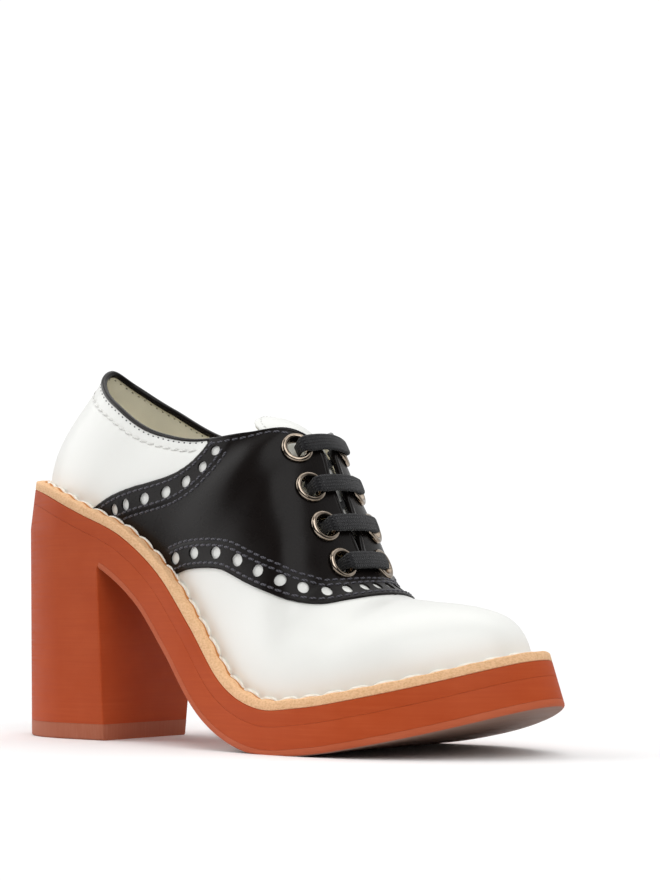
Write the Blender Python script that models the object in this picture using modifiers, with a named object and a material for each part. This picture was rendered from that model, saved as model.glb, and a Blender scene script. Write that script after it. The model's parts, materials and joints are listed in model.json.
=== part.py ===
"""Right-foot lace-up pump: block heel, platform sole, welt, hollow upper and saddle overlay.

The shoe's own frame has x from the back of the heel to the toe, y from the outer side of the
foot (minus) to the inner side (plus) and z up from the floor. Sizes are in millimetres, and
the meshes are made in metres.
"""

import math

import bmesh
import bpy
import numpy as np
from mathutils import Vector

MM = 0.001
WELD = 1e-6
TINY = 1e-9
OUTER = -1
INNER = 1
SIDES = (OUTER, INNER)
GAP = 0.35

# Sole
LENGTH = 229.5
HEEL_ROUND = 38.0
HEEL_SQUARENESS = 1.9
TOE_ROUND = 55.5
TOE_SQUARENESS = 2.1
INSET_ROUNDING = 0.6
TOE_SWING = 3.0
SWING_FROM = 0.55
MIDSOLE_THICK = 5.5
PLATFORM_THICK = 7.1
OUTSOLE_THICK = 2.5
SOLE_DEPTH = MIDSOLE_THICK + PLATFORM_THICK + OUTSOLE_THICK + 2 * GAP
SOLE_CELLS = 48
SLOPE_STEP = 0.5

# Heel block
BREAST = 62.0
HEEL_FLOOR_BACK = -1.0
HEEL_FLOOR_BREAST = 53.7
HEEL_FLOOR_HALF_WIDTH = 23.3
HEEL_FLOOR_ROUND = 34.0
TOP_PIECE_THICK = 6.0
HEEL_CELLS = 18

# Welt and insole
WELT_WIDTH = 6.0
WELT_THICK = 3.2
WELT_CLEAR = 4.2
WELT_CLEAR_LIMIT = 0.4
INSOLE_THICK = 2.5

# Upper and saddle
UPPER_WALL = 2.0
SADDLE_WALL = 1.2
SADDLE_FIRST_ROW = 1
QUARTER_CELLS = 13
FACING_CELLS = 11
FORE_SADDLE_CELLS = 4
VAMP_CELLS = 17
THROAT_POINT = 0.60
SIDEWAYS_FROM = 0.35
SIDEWAYS_SPAN = 0.20
STATION_STEP = 0.001

# Collar binding
BINDING_WIDTH = 3.2
BINDING_HEIGHT = 2.4
BINDING_SEAT = 0.5

# Tongue
TONGUE_WALL = 2.0
TONGUE_CELLS = 16
TONGUE_ACROSS = 6

# Eyelets and lace
EYELET_OUTER = 11.4
EYELET_HOLE = 6.7
EYELET_HEIGHT = 1.5
EYELET_SEAT = 0.6
EYELET_SEGMENTS = 16
EYELET_RIM_SEGMENTS = 5
HOLE_SEGMENTS = 12
HOLE_DEPTH = 12.0
LACE_WIDTH = 6.5
LACE_THICK = 1.8
LACE_SEAT = 0.8
LACE_CELLS = 10
LACE_HANDLE = 0.36


def table(columns, rows):
    """Named columns of a short table of rows."""
    return dict(zip(columns, np.array(rows, dtype=float).T))


# Plan half widths of the sole and height of the midsole's top, a row for each section
SOLE = table(
    ("along", "outer", "inner", "bed"),
    (
        (0.000, 24.9, 26.3, 97.5),
        (0.100, 27.4, 28.1, 93.3),
        (0.200, 29.1, 28.3, 84.8),
        (0.300, 30.5, 28.2, 75.4),
        (0.383, 32.2, 28.4, 61.8),
        (0.464, 36.2, 30.6, 43.2),
        (0.545, 40.6, 34.2, 23.4),
        (0.626, 44.0, 38.8, 15.4),
        (0.706, 45.4, 41.9, 16.0),
        (0.807, 43.5, 42.3, 19.8),
        (0.908, 38.2, 38.8, 25.4),
        (1.000, 30.0, 33.0, 32.2),
    ),
)

# Top line of the upper: collar, throat edge, then the ridge of the vamp down to the toe.
# Outer and inner are half widths of the opening, lean is the angle of the wall at the top line,
# and rise, crown and flare shape the wall's section between the welt and the top line. The row
# before the back seam mirrors the one after it, so that the collar is round there.
UPPER = table(
    ("station", "top_x", "top_z", "outer", "inner", "lean", "rise", "crown", "flare"),
    (
        (-0.10, 38.6, 136.6, -10.0, -10.0, 86, 0.40, 0.30, 0.10),
        (0.00, 34.6, 142.0, 0.0, 0.0, 86, 0.40, 0.30, 0.10),
        (0.10, 38.6, 136.6, 10.0, 10.0, 86, 0.40, 0.30, 0.10),
        (0.20, 52.0, 127.0, 17.5, 17.5, 85, 0.38, 0.30, 0.12),
        (0.30, 79.0, 113.8, 22.0, 22.0, 82, 0.36, 0.30, 0.15),
        (0.35, 99.0, 110.4, 23.5, 23.0, 78, 0.36, 0.32, 0.18),
        (0.40, 121.0, 112.2, 21.0, 20.0, 66, 0.36, 0.36, 0.20),
        (0.43, 133.5, 113.6, 13.5, 12.0, 40, 0.38, 0.40, 0.22),
        (0.46, 140.3, 108.2, 5.4, 3.6, 20, 0.40, 0.42, 0.24),
        (0.50, 146.0, 94.0, 4.6, 2.8, 14, 0.40, 0.44, 0.25),
        (0.55, 152.7, 77.5, 3.2, 1.9, 8, 0.42, 0.46, 0.25),
        (0.60, 158.8, 62.3, 0.0, 0.0, 0, 0.45, 0.48, 0.25),
        (0.65, 170.0, 54.3, 0.0, 0.0, 0, 0.45, 0.48, 0.22),
        (0.70, 181.5, 52.2, 0.0, 0.0, 0, 0.45, 0.46, 0.20),
        (0.75, 193.0, 51.2, 0.0, 0.0, 0, 0.45, 0.46, 0.18),
        (0.80, 203.0, 49.8, 0.0, 0.0, 0, 0.45, 0.46, 0.16),
        (0.90, 216.2, 44.6, 0.0, 0.0, 0, 0.45, 0.46, 0.12),
        (0.96, 220.8, 38.2, 0.0, 0.0, 0, 0.45, 0.46, 0.10),
        (1.00, 223.4, 30.9, 0.0, 0.0, 0, 0.45, 0.46, 0.10),
    ),
)

# The saddle's edges across the wall, from the welt (0) to the top line (1)
SADDLE = table(
    ("height", "rear", "front"),
    (
        (0.00, 0.275, 0.425),
        (0.12, 0.292, 0.440),
        (0.20, 0.302, 0.456),
        (0.30, 0.316, 0.483),
        (0.40, 0.331, 0.519),
        (0.50, 0.347, 0.579),
        (0.60, 0.361, 0.620),
        (0.70, 0.369, 0.636),
        (0.85, 0.371, 0.648),
        (1.00, 0.366, 0.652),
    ),
)

# Rows of the wall's grid, from just clear of the welt to the top line
WALL_ROWS = np.array((0.0, 0.09, 0.18, 0.28, 0.38, 0.48, 0.58, 0.69, 0.80, 0.90, 1.0))

# Eyelet centres on the wall
EYELETS = table(
    ("station", "height"),
    ((0.457, 0.905), (0.497, 0.883), (0.540, 0.870), (0.585, 0.863)),
)

# Tongue from its root under the throat point to its free top, which falls back into the collar.
# Drop is how far its sides curve in from its middle.
TONGUE = table(
    ("x", "z", "half_width", "drop_x", "drop_z"),
    (
        (157.4, 56.0, 11.0, -1.5, -4.5),
        (152.6, 66.0, 13.0, -3.0, -3.4),
        (147.4, 80.0, 14.0, -4.4, -2.4),
        (141.4, 95.0, 13.6, -5.6, -2.8),
        (135.4, 107.0, 12.8, -5.4, -4.2),
        (129.6, 113.6, 12.4, -3.6, -5.2),
        (121.5, 117.6, 12.4, -1.2, -4.6),
        (115.6, 118.8, 10.0, 0.0, -2.8),
        (113.0, 119.0, 5.0, 0.0, -0.8),
    ),
)


# Curves and surfaces of the last

def through(xs, ys, at):
    """Smooth curve through the rows of a table: cubics with averaged slopes."""
    step = np.diff(xs)
    slope = np.diff(ys) / step
    inside = (slope[:-1] * step[1:] + slope[1:] * step[:-1]) / (step[:-1] + step[1:])
    tangent = np.concatenate((slope[:1], inside, slope[-1:]))
    at = np.asarray(at, dtype=float)
    cell = np.clip(np.searchsorted(xs, at) - 1, 0, len(xs) - 2)
    u = (at - xs[cell]) / step[cell]
    start = (1 + 2 * u) * (1 - u) ** 2 * ys[cell] + u * (1 - u) ** 2 * step[cell] * tangent[cell]
    end = u * u * (3 - 2 * u) * ys[cell + 1] + u * u * (u - 1) * step[cell] * tangent[cell + 1]
    return start + end


def round_end(u, squareness):
    """Share of the full width at a share of the way in from a rounded end."""
    inward = 1 - np.clip(u, 0, 1)
    return (1 - inward ** squareness) ** (1 / squareness)


def unit(vectors):
    """Vectors scaled to length one."""
    length = np.linalg.norm(vectors, axis=-1, keepdims=True)
    return vectors / np.maximum(length, TINY)


def cosine_spaced(start, end, cells):
    """Points that crowd towards both ends."""
    return start + (end - start) * (1 - np.cos(np.linspace(0, math.pi, cells + 1))) / 2


def bed_height(x):
    """Height of the midsole's top."""
    return through(SOLE["along"] * LENGTH, SOLE["bed"], x)


def bed_normal(x):
    """Upward normal of the midsole's top."""
    rise = (bed_height(x + SLOPE_STEP) - bed_height(x - SLOPE_STEP)) / (2 * SLOPE_STEP)
    return unit(np.stack((-rise, np.zeros_like(rise), np.ones_like(rise)), axis=-1))


def middle_y(x):
    """Middle line of the last in plan, which swings to the inner side at the toe."""
    share = np.clip((x / LENGTH - SWING_FROM) / (1 - SWING_FROM), 0, 1)
    return TOE_SWING * share * share * (3 - 2 * share)


def edge_y(side, x, inset=0.0):
    """Plan outline of the sole on one side, or of one set in from it."""
    column = SOLE["outer" if side == OUTER else "inner"]
    width = through(SOLE["along"], column, (x - inset) / (LENGTH - 2 * inset)) - inset
    heel = round_end((x - inset) / (HEEL_ROUND - INSET_ROUNDING * inset), HEEL_SQUARENESS)
    toe = round_end((LENGTH - inset - x) / (TOE_ROUND - INSET_ROUNDING * inset), TOE_SQUARENESS)
    return middle_y(x) + (side * width - middle_y(x)) * heel * toe


def on_bed(x, y, above):
    """Point at a distance above the midsole's top, along its normal."""
    base = np.stack((x, y, bed_height(x)), axis=-1)
    return base + above * bed_normal(x)


def outline_point(side, station, inset, above):
    """Point of an outline set in from the sole's edge, at a station from heel to toe."""
    x = inset + (LENGTH - 2 * inset) * (1 - np.cos(math.pi * station)) / 2
    return on_bed(x, edge_y(side, x, inset), above)


def top_line(side, station):
    """Point of the upper's top line."""
    opening = through(UPPER["station"], UPPER["outer" if side == OUTER else "inner"], station)
    opening = np.where(station >= THROAT_POINT, 0.0, np.maximum(opening, 0.0))
    x = through(UPPER["station"], UPPER["top_x"], station)
    z = through(UPPER["station"], UPPER["top_z"], station)
    return np.stack((x, middle_y(x) + side * opening, z), axis=-1)


def outward_in_plan(side, station):
    """Plan normal of the line where the upper meets the sole."""
    before = outline_point(side, np.clip(station - STATION_STEP, 0, 1), WELT_WIDTH, GAP)
    after = outline_point(side, np.clip(station + STATION_STEP, 0, 1), WELT_WIDTH, GAP)
    along = after - before
    return unit(np.stack((-side * along[..., 1], side * along[..., 0], 0 * along[..., 0]), axis=-1))


def wall_point(side, station, height):
    """Outer face of the upper at a station (heel 0, toe 1) and a height (welt 0, top line 1)."""
    station, height = np.broadcast_arrays(np.asarray(station, float), np.asarray(height, float))
    foot = outline_point(side, station, WELT_WIDTH, GAP)
    top = top_line(side, station)
    outward = outward_in_plan(side, station)
    turn = np.clip((station - SIDEWAYS_FROM) / SIDEWAYS_SPAN, 0, 1)[..., None]
    turn = turn * turn * (3 - 2 * turn)
    across = unit((1 - turn) * outward + turn * np.array((0.0, side, 0.0)))
    chord = top - foot
    reach = np.linalg.norm(chord, axis=-1, keepdims=True)
    shape = {name: through(UPPER["station"], UPPER[name], station)[..., None]
             for name in ("lean", "rise", "crown", "flare")}
    lean = np.radians(shape["lean"])
    leave = unit(bed_normal(foot[..., 0]) + shape["flare"] * outward)
    arrive = unit(np.cos(lean) * across - np.sin(lean) * unit(chord))
    low = foot + leave * shape["rise"] * reach
    high = top + arrive * shape["crown"] * reach
    v = height[..., None]
    return ((1 - v) ** 3 * foot + 3 * v * (1 - v) ** 2 * low
            + 3 * v * v * (1 - v) * high + v ** 3 * top)


def wall_frame(side, station, height):
    """Point, outward normal and upward direction of the upper's outer face."""
    point = wall_point(side, station, height)
    before = wall_point(side, station - STATION_STEP, height)
    after = wall_point(side, station + STATION_STEP, height)
    up = point - wall_point(side, station, height - STATION_STEP)
    return point, unit(side * np.cross(up, after - before)), unit(up)


def clear_of_welt(side, station):
    """Height on the wall that is just clear of the welt."""
    foot = outline_point(side, station, WELT_WIDTH, GAP)
    reach = np.linalg.norm(top_line(side, station) - foot, axis=-1)
    start = 3 * through(UPPER["station"], UPPER["rise"], station) * reach
    return WELT_CLEAR / np.maximum(start, WELT_CLEAR / WELT_CLEAR_LIMIT)


def wall_heights(side, stations):
    """Heights of the wall's grid: its foot, then the rows that are clear of the welt."""
    clear = clear_of_welt(side, stations)
    rows = clear + (1 - clear) * WALL_ROWS
    return np.hstack((np.zeros_like(rows[:, :1]), rows))


def wall_stations():
    """Grid of stations whose columns follow the saddle's two edges, without the foot's row."""
    rear = through(SADDLE["height"], SADDLE["rear"], WALL_ROWS)
    front = through(SADDLE["height"], SADDLE["front"], WALL_ROWS)
    throat = (THROAT_POINT - rear[-1]) / (front[-1] - rear[-1])
    facing = np.linspace(0, throat, FACING_CELLS + 1)[:-1]
    fore = np.linspace(throat, 1, FORE_SADDLE_CELLS + 1)[:-1]
    quarter = np.linspace(0, 1, QUARTER_CELLS + 1)[:-1, None] * rear
    saddle = rear + np.concatenate((facing, fore))[:, None] * (front - rear)
    vamp = front + np.linspace(0, 1, VAMP_CELLS + 1)[:, None] * (1 - front)
    return np.vstack((quarter, saddle, vamp))


# Meshes and objects

def clear_scene():
    """Remove what a new file holds."""
    for old in list(bpy.data.objects):
        bpy.data.objects.remove(old, do_unlink=True)


def make_collection(name):
    """New collection in the scene."""
    collection = bpy.data.collections.new(name)
    bpy.context.scene.collection.children.link(collection)
    return collection


def make_material(name, colour, roughness, metallic=0.0):
    """Plain principled material."""
    material = bpy.data.materials.new(name)
    material.use_nodes = True
    shader = material.node_tree.nodes["Principled BSDF"]
    shader.inputs["Base Color"].default_value = (*colour, 1.0)
    shader.inputs["Roughness"].default_value = roughness
    shader.inputs["Metallic"].default_value = metallic
    return material


def add_part(shoe, name, mesh, material):
    """Object for one piece, hung on the shoe's empty."""
    mesh.materials.clear()
    mesh.materials.append(material)
    part = bpy.data.objects.new(name, mesh)
    shoe["collection"].objects.link(part)
    part.parent = shoe["empty"]
    return part


def make_mesh(name, points, faces, closed):
    """Mesh from points in millimetres, with doubles merged and a closed body's faces outward."""
    mesh = bpy.data.meshes.new(name)
    mesh.from_pydata((np.asarray(points) * MM).tolist(), [], faces)
    work = bmesh.new()
    work.from_mesh(mesh)
    bmesh.ops.remove_doubles(work, verts=work.verts, dist=WELD)
    bmesh.ops.dissolve_degenerate(work, edges=work.edges, dist=WELD)
    if closed:
        bmesh.ops.recalc_face_normals(work, faces=work.faces)
    bmesh.ops.triangulate(work, faces=work.faces, quad_method="SHORT_EDGE")
    work.to_mesh(mesh)
    work.free()
    return mesh


def loft(name, rings, ring_of_rings=False, last_cap=None):
    """Closed body through rings of equal point count, capped at both ends or closed on itself.

    last_cap lists the corners of each face of a last cap that isn't flat.
    """
    rings = np.asarray(rings)
    count, size = rings.shape[:2]
    faces = []
    for ring in range(count if ring_of_rings else count - 1):
        following = (ring + 1) % count
        for corner in range(size):
            beside = (corner + 1) % size
            faces.append((ring * size + corner, ring * size + beside,
                          following * size + beside, following * size + corner))
    if not ring_of_rings:
        faces.append(tuple(range(size)))
        last = (count - 1) * size
        faces.extend(tuple(last + corner for corner in cap) for cap in last_cap or (range(size),))
    return make_mesh(name, rings.reshape(-1, 3), faces, closed=True)


def two_sided_sheet(name, outer, inner):
    """Open sheet from an outer and an inner grid that share their middle lines."""
    columns, rows = outer.shape[:2]
    faces = []
    for side_start, flip in ((0, False), (columns * rows, True)):
        for column in range(columns - 1):
            for row in range(rows - 1):
                first = side_start + column * rows + row
                quad = (first, first + rows, first + rows + 1, first + 1)
                faces.append(quad[::-1] if flip else quad)
    points = np.concatenate((outer.reshape(-1, 3), inner.reshape(-1, 3)))
    return make_mesh(name, points, faces, closed=False)


def add_wall(part, thickness, offset):
    """Give a sheet its wall."""
    wall = part.modifiers.new("wall", "SOLIDIFY")
    wall.thickness = thickness * MM
    wall.offset = offset
    wall.use_even_offset = False


def flat_octagon(width, height):
    """Corners of a flat bar's section with its edges taken off, as (across, up) pairs."""
    a = width / 2
    b = height / 2
    c = height / 4
    return ((a, b - c), (a - c, b), (c - a, b), (-a, b - c),
            (-a, c - b), (c - a, -b), (a - c, -b), (a, c - b))


def bar_rings(points, across, up, width, height):
    """Rings of a flat bar along a path."""
    return [[point + side * a + lift * u for a, u in flat_octagon(width, height)]
            for point, side, lift in zip(points, across, up)]


# Sole

def sole_layer(name, start, end, top, bottom, inset=0.0):
    """Layer of the sole between two distances under the bed, from one station to another."""
    x = cosine_spaced(inset, LENGTH - inset, SOLE_CELLS)
    x = np.concatenate(([start], x[(x > start) & (x < end)], [end]))
    outer = edge_y(OUTER, x, inset)
    inner = edge_y(INNER, x, inset)
    edges = (on_bed(x, outer, bottom), on_bed(x, outer, top),
             on_bed(x, inner, top), on_bed(x, inner, bottom))
    rings = np.stack(edges, axis=1)
    rings[..., 2] = np.maximum(rings[..., 2], 0.0)
    return loft(name, rings)


def heel_floor_point(side, x, z):
    """Side of the heel block at the floor, for a station of the sole above it."""
    share = x / BREAST
    floor_x = HEEL_FLOOR_BACK + (HEEL_FLOOR_BREAST - HEEL_FLOOR_BACK) * share
    inward = (floor_x - HEEL_FLOOR_BACK) / HEEL_FLOOR_ROUND
    width = HEEL_FLOOR_HALF_WIDTH * round_end(inward, HEEL_SQUARENESS)
    return np.stack((floor_x, side * width, np.full_like(x, z)), axis=-1)


def heel_side(side, x, z):
    """Point of the heel's side between the sole's lower edge and the floor."""
    upper_edge = on_bed(x, edge_y(side, x), -SOLE_DEPTH)
    floor = heel_floor_point(side, x, 0.0)
    share = z / upper_edge[..., 2]
    return floor + (upper_edge - floor) * share[..., None]


def heel_sections():
    """Stations of the heel's sections, crowded towards its round back."""
    return (BREAST - GAP) * (1 - np.cos(np.linspace(0, math.pi / 2, HEEL_CELLS + 1)))


def heel_block(name):
    """Heel block under the midsole, with a step at its breast where the platform butts on it."""
    x = heel_sections()
    foot_height = TOP_PIECE_THICK + GAP
    edges = []
    for side in SIDES:
        y = edge_y(side, x)
        levels = [heel_side(side, x, np.full_like(x, foot_height)),
                  on_bed(x, y, -SOLE_DEPTH),
                  on_bed(x, y, -MIDSOLE_THICK - GAP)]
        edges.extend(levels if side == OUTER else levels[::-1])
    breast_and_step = ((0, 1, 4, 5), (1, 2, 3, 4))
    return loft(name, np.stack(edges, axis=1), last_cap=breast_and_step)


def heel_top_piece(name):
    """Wear piece that the heel stands on."""
    x = heel_sections()
    levels = [(OUTER, 0.0), (OUTER, TOP_PIECE_THICK), (INNER, TOP_PIECE_THICK), (INNER, 0.0)]
    edges = [heel_side(side, x, np.full_like(x, z)) for side, z in levels]
    return loft(name, np.stack(edges, axis=1))


def round_the_shoe(stations):
    """Pairs of side and station once round, from the back of the heel along the outer side."""
    way_out = [(OUTER, station) for station in stations]
    way_back = [(INNER, station) for station in stations[-2:0:-1]]
    return way_out + way_back


def welt_strip(name):
    """Strip that lies on the midsole all round the upper."""
    rings = []
    for side, station in round_the_shoe(wall_stations()[:, 0]):
        foot = wall_point(side, station, 0.0)
        bulge = wall_point(side, station, clear_of_welt(side, station)) - foot
        normal = bed_normal(foot[0])
        outward = outward_in_plan(side, station)
        outward = unit(outward - normal * np.dot(outward, normal))
        inner_low = foot + outward * GAP
        inner_high = inner_low + normal * WELT_THICK + outward * max(0.0, np.dot(bulge, outward))
        low = outline_point(side, station, 0.0, GAP)
        high = outline_point(side, station, 0.0, GAP + WELT_THICK)
        rings.append((low, high, inner_high, inner_low))
    return loft(name, rings, ring_of_rings=True)


# Upper

def wall_grids():
    """Outer and inner grids of the upper's outer face, which share the back seam and the toe's tip."""
    stations = wall_stations()
    with_foot = np.hstack((stations[:, :1], stations))
    grids = {side: wall_point(side, with_foot, wall_heights(side, stations)) for side in SIDES}
    back_seam = (grids[OUTER][0] + grids[INNER][0]) / 2
    back_seam[:, 1] = 0.0
    toe_tip = grids[OUTER][-1, 0]
    for side in SIDES:
        grids[side][0] = back_seam
        grids[side][-1] = toe_tip
    return grids


def grid_normals(grids):
    """Outward normals of both grids, shared along the ridge."""
    normals = {}
    for side in SIDES:
        ahead = np.gradient(grids[side], axis=0)
        up = np.gradient(grids[side], axis=1)
        normals[side] = unit(side * np.cross(up, ahead))
    ridge = slice(QUARTER_CELLS + FACING_CELLS, None)
    shared = unit(normals[OUTER][ridge, -1] + normals[INNER][ridge, -1])
    for side in SIDES:
        normals[side][ridge, -1] = shared
    return normals


def saddle_sheet(name, grids):
    """Sheet of the saddle, just off the upper's outer face."""
    normals = grid_normals(grids)
    columns = slice(QUARTER_CELLS, QUARTER_CELLS + FACING_CELLS + FORE_SADDLE_CELLS + 1)
    rows = slice(SADDLE_FIRST_ROW, None)
    lifted = {side: grids[side][columns, rows] + normals[side][columns, rows] * GAP for side in SIDES}
    return two_sided_sheet(name, lifted[OUTER], lifted[INNER])


def binding_bar(name):
    """Bound edge that sits on the collar's rim, from saddle to saddle round the heel."""
    stations = wall_stations()[:QUARTER_CELLS, -1]
    way = [(OUTER, station) for station in stations[::-1]]
    way += [(INNER, station) for station in stations[1:]]
    points, across, up = [], [], []
    for side, station in way:
        point, outward, upward = wall_frame(side, max(station, STATION_STEP), 1.0)
        if station == 0:
            point = top_line(side, np.asarray(0.0))
            outward = unit(outward * np.array((1.0, 0.0, 1.0)))
            upward = unit(upward * np.array((1.0, 0.0, 1.0)))
        points.append(point - outward * UPPER_WALL / 2 + upward * (BINDING_SEAT + BINDING_HEIGHT / 2))
        across.append(outward)
        up.append(upward)
    return loft(name, bar_rings(points, across, up, BINDING_WIDTH, BINDING_HEIGHT))


def tongue_sheet(name):
    """Curved sheet under the throat, its free top rounded and fallen back."""
    rows = np.arange(len(TONGUE["x"]))
    along = np.linspace(0, rows[-1], TONGUE_CELLS + 1)
    row = {column: through(rows, TONGUE[column], along)[:, None] for column in TONGUE}
    across = np.linspace(-1, 1, TONGUE_ACROSS + 1)[None, :]
    x = row["x"] + row["drop_x"] * across ** 2
    y = row["half_width"] * across
    z = row["z"] + row["drop_z"] * across ** 2
    grid = np.stack((x, y, z), axis=-1)
    count = TONGUE_ACROSS + 1
    faces = []
    for cell in range(TONGUE_CELLS):
        for k in range(TONGUE_ACROSS):
            first = cell * count + k
            faces.append((first, first + count, first + count + 1, first + 1))
    return make_mesh(name, grid.reshape(-1, 3), faces, closed=False)


# Eyelets and lace

def eyelet_seats(index):
    """Centre of one pair of eyelets on the upper, and the normals there."""
    station = EYELETS["station"][index]
    height = EYELETS["height"][index]
    return {side: wall_frame(side, station, height)[:2] for side in SIDES}


def turn_to(normal):
    """Rotation that lays a flat ring on a face."""
    return Vector(normal).to_track_quat("Z", "Y").to_euler()


def add_eyelet(shoe, name, seat, normal, material):
    """Rolled metal ring on the saddle."""
    rim = (EYELET_OUTER - EYELET_HOLE) / 4
    bpy.ops.mesh.primitive_torus_add(
        major_radius=(EYELET_OUTER / 2 - rim) * MM, minor_radius=rim * MM,
        major_segments=EYELET_SEGMENTS, minor_segments=EYELET_RIM_SEGMENTS)
    ring = bpy.context.object
    mesh = ring.data
    bpy.data.objects.remove(ring, do_unlink=True)
    mesh.name = name
    for vertex in mesh.vertices:
        vertex.co.z *= EYELET_HEIGHT / (2 * rim)
    mesh.shade_smooth()
    part = add_part(shoe, name, mesh, material)
    above = GAP + SADDLE_WALL + EYELET_SEAT + EYELET_HEIGHT / 2
    part.location = Vector((seat + normal * above) * MM)
    part.rotation_euler = turn_to(normal)


def add_hole_cutter(shoe, name, seat, normal):
    """Punch for one eyelet's hole through saddle and upper."""
    bpy.ops.mesh.primitive_cylinder_add(
        vertices=HOLE_SEGMENTS, radius=EYELET_HOLE / 2 * MM, depth=HOLE_DEPTH * MM)
    cutter = bpy.context.object
    cutter.name = name
    for collection in list(cutter.users_collection):
        collection.objects.unlink(cutter)
    shoe["cutters"].objects.link(cutter)
    cutter.parent = shoe["empty"]
    cutter.location = Vector(seat * MM)
    cutter.rotation_euler = turn_to(normal)
    cutter.hide_render = True
    cutter.display_type = "WIRE"


def punch(part, cutters):
    """Cut every eyelet hole through a piece."""
    cut = part.modifiers.new("eyelet_holes", "BOOLEAN")
    cut.operation = "DIFFERENCE"
    cut.operand_type = "COLLECTION"
    cut.collection = cutters


def lace_bar(name, seats):
    """One flat bar of the lace, from eyelet to eyelet over the throat."""
    above = GAP + SADDLE_WALL + EYELET_SEAT + EYELET_HEIGHT + LACE_SEAT + LACE_THICK / 2
    start = seats[OUTER][0] + seats[OUTER][1] * above
    end = seats[INNER][0] + seats[INNER][1] * above
    lift = unit(seats[OUTER][1] + seats[INNER][1])
    span = end - start
    handle = LACE_HANDLE * np.linalg.norm(span)
    leave = start + handle * unit(span - seats[OUTER][1] * np.dot(span, seats[OUTER][1]))
    arrive = end - handle * unit(span - seats[INNER][1] * np.dot(span, seats[INNER][1]))
    share = np.linspace(0, 1, LACE_CELLS + 1)[:, None]
    points = ((1 - share) ** 3 * start + 3 * share * (1 - share) ** 2 * leave
              + 3 * share ** 2 * (1 - share) * arrive + share ** 3 * end)
    ahead = unit(np.gradient(points, axis=0))
    across = unit(np.cross(lift, ahead))
    up = np.cross(ahead, across)
    return loft(name, bar_rings(points, across, up, LACE_WIDTH, LACE_THICK))


# The whole shoe

def make_materials():
    """Finishes seen in the shoe."""
    return {
        "white_leather": make_material("white_leather", (0.87, 0.88, 0.84), 0.25),
        "black_leather": make_material("black_leather", (0.017, 0.013, 0.013), 0.32),
        "rust_sole": make_material("rust_sole", (0.42, 0.067, 0.023), 0.62),
        "heel_tip": make_material("heel_tip", (0.36, 0.10, 0.06), 0.60),
        "natural_welt": make_material("natural_welt", (0.72, 0.43, 0.20), 0.65),
        "insole_leather": make_material("insole_leather", (0.43, 0.41, 0.30), 0.60),
        "nickel": make_material("nickel", (0.42, 0.38, 0.33), 0.28, 1.0),
        "lace_cotton": make_material("lace_cotton", (0.012, 0.012, 0.013), 0.85),
    }


def stand_on_origin(shoe):
    """Move the empty so that the box's bottom centre is at the origin."""
    bpy.context.view_layer.update()
    graph = bpy.context.evaluated_depsgraph_get()
    corners = []
    for part in shoe["collection"].objects:
        if part.type == "MESH":
            seen = part.evaluated_get(graph)
            corners.extend(seen.matrix_world @ vertex.co for vertex in seen.data.vertices)
    low = Vector(min(corner[axis] for corner in corners) for axis in range(3))
    high = Vector(max(corner[axis] for corner in corners) for axis in range(3))
    shoe["empty"].location = (-(low.x + high.x) / 2, -(low.y + high.y) / 2, -low.z)
    bpy.context.view_layer.update()


def build():
    """Model every piece of the shoe."""
    clear_scene()
    shoe = {"collection": make_collection("lace_up_pump"), "cutters": make_collection("cutters")}
    shoe["empty"] = bpy.data.objects.new("shoe", None)
    shoe["collection"].objects.link(shoe["empty"])
    finish = make_materials()

    platform_top = -MIDSOLE_THICK - GAP
    outsole_top = platform_top - PLATFORM_THICK - GAP
    add_part(shoe, "midsole", sole_layer("midsole", 0.0, LENGTH, 0.0, -MIDSOLE_THICK), finish["rust_sole"])
    platform = sole_layer("platform", BREAST, LENGTH, platform_top, platform_top - PLATFORM_THICK)
    add_part(shoe, "platform", platform, finish["rust_sole"])
    outsole = sole_layer("outsole", BREAST, LENGTH, outsole_top, outsole_top - OUTSOLE_THICK)
    add_part(shoe, "outsole", outsole, finish["rust_sole"])
    add_part(shoe, "heel", heel_block("heel"), finish["rust_sole"])
    add_part(shoe, "heel_top_piece", heel_top_piece("heel_top_piece"), finish["heel_tip"])
    add_part(shoe, "welt", welt_strip("welt"), finish["natural_welt"])
    set_in = WELT_WIDTH + UPPER_WALL + GAP
    insole = sole_layer("insole", set_in, LENGTH - set_in, GAP + INSOLE_THICK, GAP, set_in)
    add_part(shoe, "insole", insole, finish["insole_leather"])

    grids = wall_grids()
    shell = two_sided_sheet("upper", grids[OUTER], grids[INNER])
    upper = add_part(shoe, "upper", shell, finish["white_leather"])
    add_wall(upper, UPPER_WALL, -1.0)
    saddle = add_part(shoe, "saddle", saddle_sheet("saddle", grids), finish["black_leather"])
    add_wall(saddle, SADDLE_WALL, 1.0)
    add_part(shoe, "collar_binding", binding_bar("collar_binding"), finish["black_leather"])
    tongue = add_part(shoe, "tongue", tongue_sheet("tongue"), finish["white_leather"])
    add_wall(tongue, TONGUE_WALL, 0.0)

    for index in range(len(EYELETS["station"])):
        seats = eyelet_seats(index)
        for side, label in ((OUTER, "outer"), (INNER, "inner")):
            seat, normal = seats[side]
            add_eyelet(shoe, f"eyelet_{label}_{index + 1}", seat, normal, finish["nickel"])
            add_hole_cutter(shoe, f"hole_{label}_{index + 1}", seat, normal)
        bar = lace_bar(f"lace_bar_{index + 1}", seats)
        add_part(shoe, f"lace_bar_{index + 1}", bar, finish["lace_cotton"])
    punch(upper, shoe["cutters"])
    punch(saddle, shoe["cutters"])
    stand_on_origin(shoe)


build()
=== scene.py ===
"""Looks of a right-foot lace-up pump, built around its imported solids.

Sizes are in millimetres in the shoe's own frame: x from the back of the heel to the toe, y from the
outer side of the foot (minus) to the inner side (plus), z up from the floor. Meshes are made in
metres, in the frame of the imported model.
"""

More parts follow.
